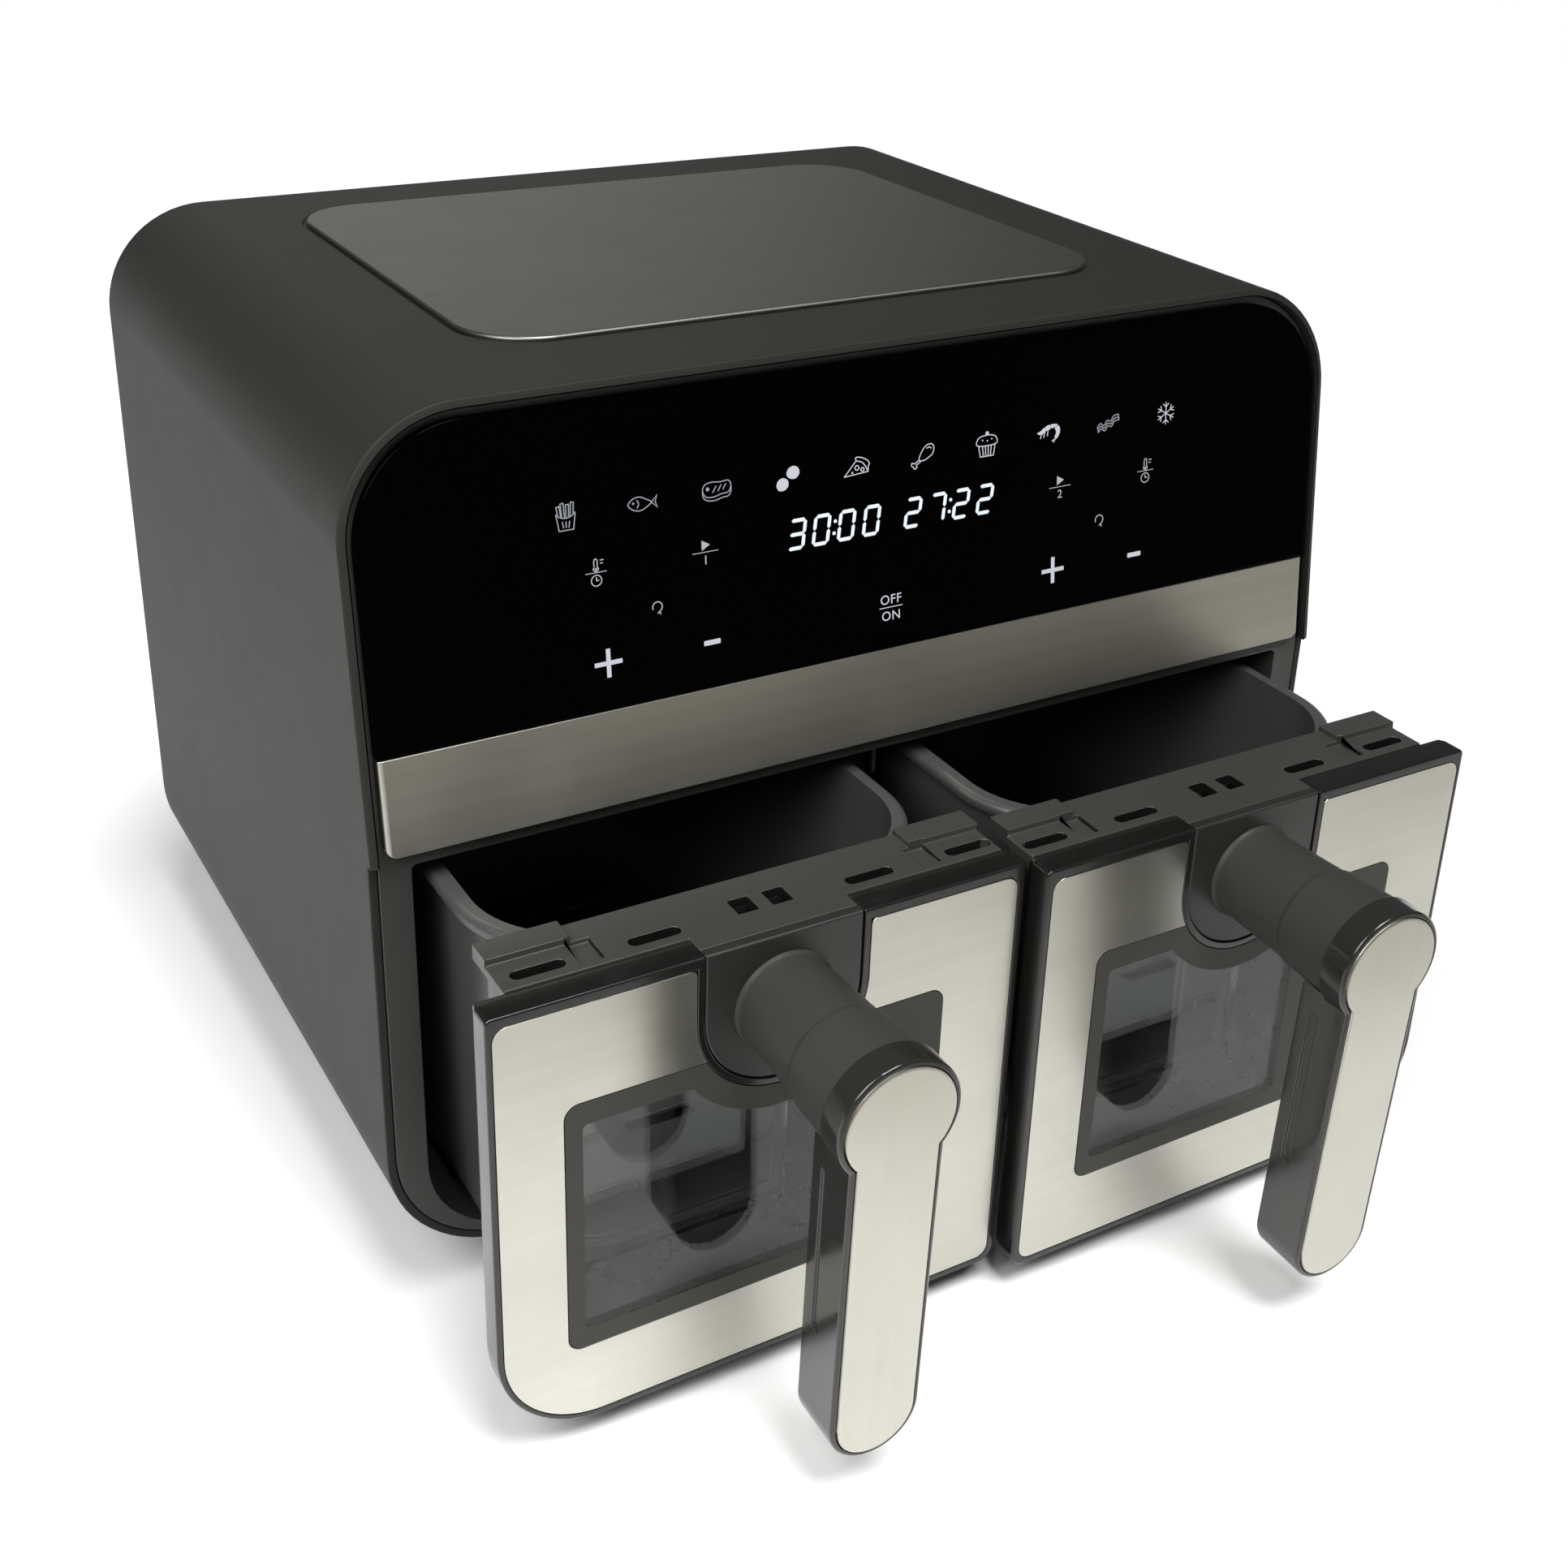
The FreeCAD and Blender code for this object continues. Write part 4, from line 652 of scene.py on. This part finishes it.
def asMesh(curve, x=0, y=0):
    # a curve or a text drawn in millimetres, as a mesh moved by x and y
    carrier = bpy.data.objects.new(curve.name, curve)
    mesh = bpy.data.meshes.new_from_object(carrier)
    bpy.data.objects.remove(carrier)
    mesh.transform(Matrix.Scale(mm, 4) @ Matrix.Translation((x, y, 0)))
    return mesh


def flatPlate(outlines, thick):
    # outlines and thickness in millimetres; a second outline inside the first is a hole
    curve = bpy.data.curves.new("mark", "CURVE")
    curve.dimensions = "2D"
    curve.fill_mode = "BOTH"
    curve.extrude = thick / 2
    for outline in outlines:
        spline = curve.splines.new("POLY")
        spline.points.add(len(outline) - 1)
        for point, (x, y) in zip(spline.points, outline):
            point.co = (x, y, 0, 1)
        spline.use_cyclic_u = True
    return asMesh(curve)


lettering = {"capital": 0.73, "spacing": 1.08, "thick": 0.06}  # a capital's height is a share of the size


def letters(text, x, y, height):
    # plain lettering as a mesh, centred on x and y in millimetres
    font = bpy.data.curves.new(text, "FONT")
    font.body = text
    font.size = height / lettering["capital"]
    font.align_x = "CENTER"
    font.extrude = lettering["thick"] / 2
    font.space_character = lettering["spacing"]
    return asMesh(font, x, y - height / 2)


pen = {"softSteps": 6, "endSteps": 6, "sharpest": 0.5}


def softPoint(p, q, r, s, t):
    # a value between q and r, on a soft curve through all four
    return 0.5 * (2 * q + (r - p) * t + (2 * p - 5 * q + 4 * r - s) * t * t
                  + (3 * q - p - 3 * r + s) * t ** 3)


def smoothLine(points, closed):
    # a soft line through the points
    count, steps = len(points), pen["softSteps"]
    line = []
    for i in range(count if closed else count - 1):
        near = [points[j % count if closed else min(max(j, 0), count - 1)] for j in range(i - 1, i + 3)]
        line += [tuple(softPoint(*four, k / steps) for four in zip(*near)) for k in range(steps)]
    return line if closed else line + [points[-1]]


def roundEnd(centre, start, radius):
    # a half circle from one edge of a line to the other, without its ends
    angle = math.degrees(math.atan2(start[1] - centre[1], start[0] - centre[0]))
    return arc(centre, radius, angle, angle - 180, pen["endSteps"])[1:-1]


def strokeOutlines(points, width, closed):
    # the two edges of a drawn line: one outline for an open line, two for a loop
    half = width / 2
    ways = [Vector((x1 - x0, y1 - y0)).normalized()
            for (x0, y0), (x1, y1) in zip(points, points[1:] + points[:1])]
    left, right = [], []
    for i, (x, y) in enumerate(points):
        near = [ways[k] for k in (i - 1, i) if closed or 0 <= k < len(points) - 1]
        way = sum(near, Vector((0, 0))).normalized()
        reach = half / max(pen["sharpest"], way.dot(near[0]))
        left.append((x - way.y * reach, y + way.x * reach))
        right.append((x + way.y * reach, y - way.x * reach))
    if closed:
        return [left, right]
    return [left + roundEnd(points[-1], left[-1], half) + right[::-1] + roundEnd(points[0], right[0], half)]


def markOutlines(marks, x, y, width):
    # outlines in millimetres for a list of marks round x and y
    groups = []
    for kind, shape, *radius in marks:
        if kind in ("dot", "ring"):
            line = disc(*shape, *radius)
        elif kind in ("line", "corners"):
            line = shape
        else:
            line = smoothLine(shape, kind != "curve")
        filled = kind in ("dot", "patch", "corners")
        group = [line] if filled else strokeOutlines(line, width, kind in ("loop", "ring"))
        groups.append([[(x + px, y + py) for px, py in outline] for outline in group])
    return groups


def bar(x, y, half, halfLine):
    x0, x1, y0, y1 = x - half, x + half, y - halfLine, y + halfLine
    return [[(x0, y0), (x1, y0), (x1, y1), (x0, y1)]]


def turnedPoint(x, y, degrees):
    a = math.radians(degrees)
    return x * math.cos(a) - y * math.sin(a), x * math.sin(a) + y * math.cos(a)


# drawings in millimetres: lines and curves of pen width, closed loops, rings, filled dots and patches
rasher = ((-4.7, -0.8), (-3.4, 0.3), (-1.9, -0.6), (-0.5, 1.0), (1.0, 0.6), (2.4, 2.3), (4.4, 2.6))
pictograms = {
    "fries": [
        ("line", [(-3.2, 1), (-2.4, -4.3), (2.4, -4.3), (3.2, 1)]),
        ("curve", [(-3.2, 1), (-1.8, -0.1), (0, -0.5), (1.8, -0.1), (3.2, 1)]),
        ("line", [(-2.6, 0.6), (-3, 3.3), (-2, 3.5), (-1.6, 0)]),
        ("line", [(-1.3, 0), (-1.6, 4.2), (-0.6, 4.3), (-0.4, -0.3)]),
        ("line", [(0.1, -0.3), (0.2, 3.7), (1.2, 3.7), (1, 0)]),
        ("line", [(1.5, 0), (1.9, 4.3), (2.8, 4.1), (2.5, 0.5)]), ("line", [(-1.2, -1.6), (-0.9, -3.4)]),
        ("line", [(0, -1.7), (0, -3.4)]), ("line", [(1.2, -1.6), (0.9, -3.4)])],
    "fish": [
        ("loop", [(-5, 0.1), (-3.4, 1.8), (-1, 2.2), (1.4, 1.1), (3, 0), (1.4, -1.3), (-1, -2.2),
            (-3.4, -1.6)]), ("line", [(3, 0), (5, 1.9), (4.3, 0), (5, -1.9), (3, 0)]),
        ("dot", (-3.2, 0.4), 0.38), ("curve", [(-1.9, 1.2), (-1.4, 0), (-1.9, -1.2)])],
    "steak": [
        ("loop", [(-5, 0.6), (-4.2, 2.4), (-1.8, 3), (1.2, 2.7), (4.2, 2.8), (5.1, 1.2), (4.2, -0.9),
            (1.4, -1.3), (-1.2, -1.9), (-3.9, -1.5)]),
        ("curve", [(-5, 0.6), (-4.9, -1.4), (-3.6, -2.7), (-0.8, -3.1), (2, -2.5), (4.2, -2.2), (5.1, -0.6),
            (5.1, 1.2)]), ("dot", (-3.2, 0.9), 0.62), ("line", [(-1.4, -0.4), (-0.2, 1.5)]),
        ("line", [(0.5, -0.1), (1.6, 1.7)]), ("line", [(2.3, 0.2), (3.3, 1.8)])],
    "nuggets": [
        ("patch", [(-4.3, -2), (-3.5, -0.2), (-1.7, 0.3), (-0.1, -0.7), (0, -2.6), (-1.4, -3.8),
            (-3.4, -3.7)]),
        ("patch", [(-0.5, 1.2), (0.2, 3.1), (2.1, 3.8), (3.9, 2.9), (4.2, 1), (2.8, -0.4), (0.7, -0.2)])],
    "pizza": [
        ("line", [(-4.8, -2.9), (4.3, -2.3), (4.5, -0.3)]), ("line", [(-4.8, -2.9), (-0.2, 1.9)]),
        ("curve", [(-0.2, 1.9), (1.9, 1.2), (3.4, -0.4), (4.3, -2.3)]),
        ("curve", [(-0.2, 1.9), (-0.3, 3), (1.7, 2.8), (4, 1.6), (4.9, 0.3), (4.5, -0.3)]),
        ("ring", (0.1, -0.5), 0.75), ("ring", (2.2, -1.3), 0.6), ("dot", (-1.7, -1.9), 0.35)],
    "drumstick": [
        ("loop", [(-1.6, -1.5), (-0.6, 1), (1.2, 3), (3.4, 3.4), (4.4, 2), (3.8, 0), (2, -1.2),
            (0.2, -1.9)]), ("line", [(-1.6, -1.5), (-3.3, -2.6)]), ("line", [(-0.9, -2), (-2.7, -3.2)]),
        ("curve", [(-3.3, -2.6), (-4.4, -2.2), (-4.5, -3.2), (-3.9, -3.6), (-3.4, -4.3), (-2.5, -4),
            (-2.7, -3.2)]), ("curve", [(1.6, 2.1), (2.6, 2.4), (3.3, 1.9)])],
    "cupcake": [
        ("line", [(-3.4, -0.4), (-2.7, -4.2), (2.7, -4.2), (3.4, -0.4)]),
        ("loop", [(-4.3, 0.3), (-3.5, 2.3), (-1.4, 3), (1.4, 3), (3.5, 2.3), (4.3, 0.3), (2.4, -0.5),
            (-2.4, -0.5)]), ("dot", (0.1, 3.7), 0.72), ("dot", (-1.8, 1.5), 0.28),
        ("dot", (0.2, 1.1), 0.28), ("dot", (2, 1.6), 0.28),
        *[("line", [(x, -0.8), (x / 1.2, -3.9)]) for x in (-1.8, -0.6, 0.6, 1.8)]],
    "shrimp": [
        ("patch", [(4.2, 2.2), (4.9, 0.6), (4.4, -1.2), (3.2, -2.4), (2.6, -1.6), (3.1, -0.6), (3.1, 0.6),
            (2.6, 1.6)]), ("patch", [(3.9, 2.6), (2.4, 3), (0.9, 2.9), (1.1, 1.7), (2.2, 1.8)]),
        ("patch", [(0.5, 2.9), (-1.4, 2.4), (-0.8, 1), (0.7, 1.6)]),
        ("patch", [(-1.8, 2.2), (-3.4, 1.2), (-4.9, 0.6), (-3.3, -0.1), (-1.2, 0.8)]),
        ("line", [(-3, -0.1), (-3.5, -1.4)]), ("line", [(-1.7, 0.3), (-2.1, -1.2)]),
        ("line", [(-0.3, 0.8), (-0.5, -0.8)]), ("line", [(2.9, -2.3), (1.5, -2.9)]),
        ("line", [(2.9, -2.3), (2.2, -3.4)])],
    "bacon": [("curve", [(x + 0.2 * k, y - k) for x, y in rasher]) for k in (0, 1, 2)] + [
        ("line", [(-4.7, -0.8), (-4.3, -2.8)]), ("line", [(4.4, 2.6), (4.8, 0.6)])],
    "snowflake": [("line", [turnedPoint(x, y, 30 + 60 * k) for x, y in points]) for k in range(6)
                  for points in ([(0.1, 0), (3.9, 0)], [(3.4, 1.2), (2.3, 0), (3.4, -1.2)])],
}
symbols = {
    "thermometer": [
        ("curve", [(-0.55, 1.1), (-0.55, 3.2), (0, 3.8), (0.55, 3.2), (0.55, 1.1), (0.9, 0.5), (0, -0.3),
            (-0.9, 0.5), (-0.55, 1.1)]), ("line", [(1.6, 3.2), (2.6, 3.2)]),
        ("line", [(1.6, 2.2), (2.3, 2.2)]), ("dot", (0, 0.5), 0.4)],
    "clock": [("ring", (0, 0), 1.75), ("line", [(0, 1), (0, 0), (0.8, 0)])],
    "play": [("corners", [(-1.3, 1.7), (1.7, 0), (-1.3, -1.7)])],
    "turnRound": [
        ("line", arc((0, 0), 1.7, 200, -60, 20)), ("line", [(0.1, -2.1), (0.85, -1.47), (1, -2.5)])],
}
segments = {"0": "abcdef", "1": "bc", "2": "abged", "3": "abgcd", "4": "fgbc", "5": "afgcd", "6": "afgedc",
            "7": "abc", "8": "abcdefg", "9": "abcdfg"}
panelPrint = {
    "thick": 0.06, "proud": 0.04, "merge": 0.0005, "line": 0.34, "dim": ("fries", "fish", "steak", "bacon"),
    "symbolHeight": 64.8, "symbolStart": -118.7, "symbolStep": 25.94, "digitLow": 40.3, "digitHeight": 10.6,
    "digitWidth": 6.6, "digitLine": 1.25, "digitGap": 0.1, "digitSlant": 8.5,
    "times": ((-42.2, "3"), (-32.9, "0"), (-23.3, "0"), (-13.6, "0"),
              (2.8, "2"), (12.7, "7"), (22.3, "2"), (32.1, "2")),
    "colons": (-24.6, 21), "colonRise": (0.31, 0.69), "colonDot": 0.62,
    "plus": ((-107.4, 15.2), (65.5, 14.9)), "plusSize": 9.6, "plusLine": 1.5,
    "minus": ((-70.6, 14.9), (102, 14.4)), "minusSize": 6, "minusLine": 1.7, "minusCorner": 0.3,
    "switch": (-2.3, 14), "switchBar": (4.6, 0.14), "switchWords": {"OFF": 2.9, "ON": -2.9},
    "wordHeight": 3.4,
    "heat": ((-109.8, 45.4), (106.1, 45)), "heatBar": (3.6, 0.12),
    "heatMarks": {"thermometer": 0.6, "clock": -2.6}, "heatLine": 0.34,
    "turn": ((-89.5, 30.4), (85.7, 30.1)), "turnLine": 0.36,
    "start": ((-71.7, 45.4, "1"), (68.1, 45, "2")), "startBar": (4.6, 0.12),
    "play": 2.3, "playLine": 0.4, "number": -2.5, "numberHeight": 3.1,
}


def slanted(x, y, look):
    # x leaning with its height y over the digits' foot
    return x + y * math.tan(math.radians(look["digitSlant"])), look["digitLow"] + y


def digitOutlines(x, digit, look):
    # seven bars with pointed ends and hairline gaps between them
    h, gap = look["digitLine"] / 2, look["digitGap"]
    first, last, low, high = h, look["digitWidth"] - h, h, look["digitHeight"] - h
    middle = look["digitHeight"] / 2
    ends = {"a": (first, high, last, high), "g": (first, middle, last, middle), "d": (first, low, last, low),
            "b": (last, middle, last, high), "c": (last, low, last, middle),
            "f": (first, middle, first, high), "e": (first, low, first, middle)}
    groups = []
    for key in segments[digit]:
        x0, y0, x1, y1 = ends[key]
        level = y0 == y1
        start, end = (x0 + gap, x1 - gap) if level else (y0 + gap, y1 - gap)
        shape = ((start, 0), (start + h, h), (end - h, h), (end, 0), (end - h, -h), (start + h, -h))
        corners = [(along, y0 + off) if level else (x0 + off, along) for along, off in shape]
        groups.append([[slanted(x + px, py, look) for px, py in corners]])
    return groups


def printMarks(name, groups, words, finishName, look):
    # flat marks joined into one piece and laid on the panel's front
    work = bmesh.new()
    for mesh in [flatPlate(group, look["thick"]) for group in groups] + words:
        work.from_mesh(mesh)
        bpy.data.meshes.remove(mesh)
    bmesh.ops.remove_doubles(work, verts=work.verts, dist=look["merge"] * mm)
    onPanel = panelPlace @ Matrix.Translation((0, 0, (look["proud"] - look["thick"] / 2) * mm))
    bmesh.ops.transform(work, matrix=onPanel, verts=work.verts)
    addPiece(name, closedMesh(name, work), "housing", finishName)


def printPanel(look):
    digits, bright, dim, faint, numbers = [], [], [], [], []
    for x, digit in look["times"]:
        digits += digitOutlines(x, digit, look)
    digits += [[disc(*slanted(x, look["digitHeight"] * rise, look), look["colonDot"])]
               for x in look["colons"] for rise in look["colonRise"]]
    printMarks("time_digits", digits, [], "litDigits", look)

    for index, (name, marks) in enumerate(pictograms.items()):
        x = look["symbolStart"] + index * look["symbolStep"]
        group = dim if name in look["dim"] else bright
        group += markOutlines(marks, x, look["symbolHeight"], look["line"])
    plus = crossOutline(look["plusLine"] / 2, look["plusSize"] / 2)
    bright += [[[(x + px, y + py) for px, py in plus]] for x, y in look["plus"]]
    for x, y in look["minus"]:
        size, line = look["minusSize"] / 2, look["minusLine"] / 2
        bright.append([roundedBox(x - size, x + size, y - line, y + line, look["minusCorner"])])
    x, y = look["switch"]
    bright.append(bar(x, y, *look["switchBar"]))
    words = [letters(word, x, y + rise, look["wordHeight"]) for word, rise in look["switchWords"].items()]
    printMarks("panel_symbols", bright, words, "litSymbols", look)
    printMarks("panel_dim_symbols", dim, [], "dimSymbols", look)

    for x, y in look["heat"]:
        for name, rise in look["heatMarks"].items():
            faint += markOutlines(symbols[name], x, y + rise, look["heatLine"])
        faint.append(bar(x, y, *look["heatBar"]))
    for x, y in look["turn"]:
        faint += markOutlines(symbols["turnRound"], x, y, look["turnLine"])
    for x, y, number in look["start"]:
        faint += markOutlines(symbols["play"], x, y + look["play"], look["playLine"])
        faint.append(bar(x, y, *look["startBar"]))
        numbers.append(letters(number, x, y + look["number"], look["numberHeight"]))
    printMarks("panel_function_marks", faint, numbers, "faintSymbols", look)


printPanel(panelPrint)
print("control panel printed")


windowBorder = {"left": 5.6, "right": 42, "low": 7, "high": 8, "corner": 5, "clearCorner": 2,
                "bibHalf": 27.2, "notch": 30, "bite": 38, "biteSteps": 40, "thick": 0.1, "proud": 0.05}


def bittenBox(x0, x1, z0, z1, r, axis, bite, biteSteps):
    # a rounded box with a round bite in its upper edge, across and up in millimetres
    dip = math.degrees(math.asin((axis[1] - z1) / bite))
    line = roundedBox(x0, x1, z0, z1, r)[::-1]
    last = len(line) - cornerSteps - 1
    return line[:last] + arc(axis, bite, 180 + dip, 360 - dip, biteSteps) + line[last:]


def printBorder(side, look):
    # the printed border on the window's front, bitten round the tongue at its outer and its inner edge
    low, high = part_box("window_glass_" + side)
    bibLow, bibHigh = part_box("handle_bib_" + side)
    axis = ((bibLow.x + bibHigh.x) / 2 / mm, bibLow.z / mm + look["bibHalf"])
    x0, x1, z0, z1 = low.x / mm, high.x / mm, low.z / mm, high.z / mm
    outer = bittenBox(x0, x1, z0, z1, look["corner"], axis, look["notch"], look["biteSteps"])
    inner = bittenBox(x0 + look["left"], x1 - look["right"], z0 + look["low"], z1 - look["high"],
                      look["clearCorner"], axis, look["bite"], look["biteSteps"])
    front = low.y / mm - look["proud"]
    back = front + look["thick"]
    work = bmesh.new()
    rings = [ringOf(work, [(x, y, z) for x, z in line])
             for line, y in ((outer, front), (outer, back), (inner, back), (inner, front))]
    joinRings(work, rings + rings[:1])
    addPiece("window_border_" + side, closedMesh("windowBorder", work), "drawer_" + side,
             "windowBorder")


for side in sides:
    printBorder(side, windowBorder)
print("window borders printed")


studio = {"floorSize": 30, "floorColor": (0.95, 0.95, 0.95), "cardShade": (0.42, 0.4, 0.365),
          "cardStart": -0.315, "cardShaded": -0.43, "cardEnd": -4, "cardHalf": 4, "cardRise": 0.001,
          "wallRadius": 14.5, "wallHeight": 14, "wallFaces": 64, "dimSky": (0.09, 0.09, 0.09),
          "softWindow": (0.58, 0.58, 0.56), "windowTurn": 12, "windowHeight": 16, "windowEdge": (0.90, 0.995),
          "keyTurn": (22, 5, 0), "keyStrength": 3.2, "keySoftness": 28, "boxPlace": (-0.85, -0.5, 0.95),
          "boxAim": (-0.2, -0.02, 0.05), "boxSize": 0.7, "boxPower": 13}


def stagePiece(name, points, faces, color):
    # a part of the set, in metres, with a matt finish of its own
    mesh = bpy.data.meshes.new(name)
    mesh.from_pydata(points, [], faces)
    piece = newObject(name, mesh)
    finish, _, shader = newFinish(name + "Paper")
    mesh.materials.append(finish)
    setInputs(shader, {"Base Color": (*color, 1), "Roughness": 0.9, "Specular IOR Level": 0.0})
    return piece, shader


def levelSheet(name, half, near, far, height, color):
    corners = [(-half, near, height), (half, near, height), (half, far, height), (-half, far, height)]
    return stagePiece(name, corners, [(0, 1, 2, 3)], color)


def layCard(look):
    # a grey card on the floor, seen only in the object's reflections: it gives the steel its gradient
    card, shader = levelSheet("card", look["cardHalf"], look["cardEnd"], look["cardStart"], look["cardRise"],
                              look["floorColor"])
    card.visible_camera = False
    card.visible_shadow = False
    tree = shader.id_data
    place = tree.nodes.new("ShaderNodeTexCoord").outputs["Object"]
    split = addNode(tree, "ShaderNodeSeparateXYZ", {"Vector": place})
    shade = spread(tree, split.outputs["Y"], 0, 1, look["cardShaded"], look["cardStart"],
                   interpolation_type="SMOOTHSTEP")
    setInputs(shader, {"Base Color": blendColors(tree, shade, look["cardShade"], look["floorColor"])})


def raiseWall(look):
    # a pale wall all round, seen only by the camera, which lights nothing
    radius, count = look["wallRadius"], look["wallFaces"]
    angles = [2 * math.pi * k / count for k in range(count)]
    ring = [(radius * math.cos(a), radius * math.sin(a)) for a in angles]
    points = [(x, y, z) for z in (0, look["wallHeight"]) for x, y in ring]
    faces = [((k + 1) % count, k, k + count, (k + 1) % count + count) for k in range(count)]
    wall, shader = stagePiece("wall", points, faces, (0, 0, 0))
    setInputs(shader, {"Emission Color": (1, 1, 1, 1), "Emission Strength": 1.0})
    for ray in ("diffuse", "glossy", "transmission", "shadow"):
        setattr(wall, "visible_" + ray, False)


def lightWorld(look):
    # a dim sky with one soft bright window behind the object
    world = bpy.data.worlds.new("studio")
    bpy.context.scene.world = world
    world.use_nodes = True
    tree = world.node_tree
    turn, height = math.radians(look["windowTurn"]), math.radians(look["windowHeight"])
    window = (math.sin(turn) * math.cos(height), math.cos(turn) * math.cos(height), math.sin(height))
    direction = tree.nodes.new("ShaderNodeTexCoord").outputs["Generated"]
    nearness = addNode(tree, "ShaderNodeVectorMath", {0: direction, 1: window}, operation="DOT_PRODUCT")
    glow = spread(tree, nearness.outputs["Value"], 0, 1, *look["windowEdge"])
    sky = blendColors(tree, glow, look["dimSky"], look["softWindow"])
    setInputs(tree.nodes["Background"], {"Color": sky})


def placeLamps(look):
    sun = bpy.data.lights.new("key", "SUN")
    sun.energy = look["keyStrength"]
    sun.angle = math.radians(look["keySoftness"])
    newObject("key", sun).rotation_euler = [math.radians(a) for a in look["keyTurn"]]
    box = bpy.data.lights.new("softbox", "AREA")
    box.energy = look["boxPower"]
    box.size = look["boxSize"]
    stand = newObject("softbox", box)
    stand.location = look["boxPlace"]
    away = Vector(look["boxPlace"]) - Vector(look["boxAim"])
    stand.rotation_euler = away.to_track_quat("Z", "Y").to_euler()


cameraView = {"across": -0.3499, "fromBack": 0.8064, "height": 0.5025, "turn": 30.723, "tilt": -24.564,
              "roll": 1.857, "lens": 46.374, "sensor": 36, "shift": (-0.00627, -0.09862), "clipStart": 0.02}


def placeCamera(look):
    camera = bpy.data.cameras.new("camera")
    camera.lens = look["lens"]
    camera.sensor_width = look["sensor"]
    camera.shift_x, camera.shift_y = look["shift"]
    camera.clip_start = look["clipStart"]
    holder = newObject("camera", camera)
    place = Vector((look["across"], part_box("outer_shell")[1].y - look["fromBack"], look["height"]))
    holder.matrix_world = (Matrix.Translation(place) @ Matrix.Rotation(math.radians(-look["turn"]), 4, "Z")
                           @ Matrix.Rotation(math.radians(90 + look["tilt"]), 4, "X")
                           @ Matrix.Rotation(math.radians(look["roll"]), 4, "Z"))
    bpy.context.scene.camera = holder


half = studio["floorSize"] / 2
levelSheet("floor", half, -half, half, 0, studio["floorColor"])
layCard(studio)
raiseWall(studio)
lightWorld(studio)
placeLamps(studio)
placeCamera(cameraView)
bpy.context.scene.view_settings.view_transform = "Standard"
print("studio and camera ready")
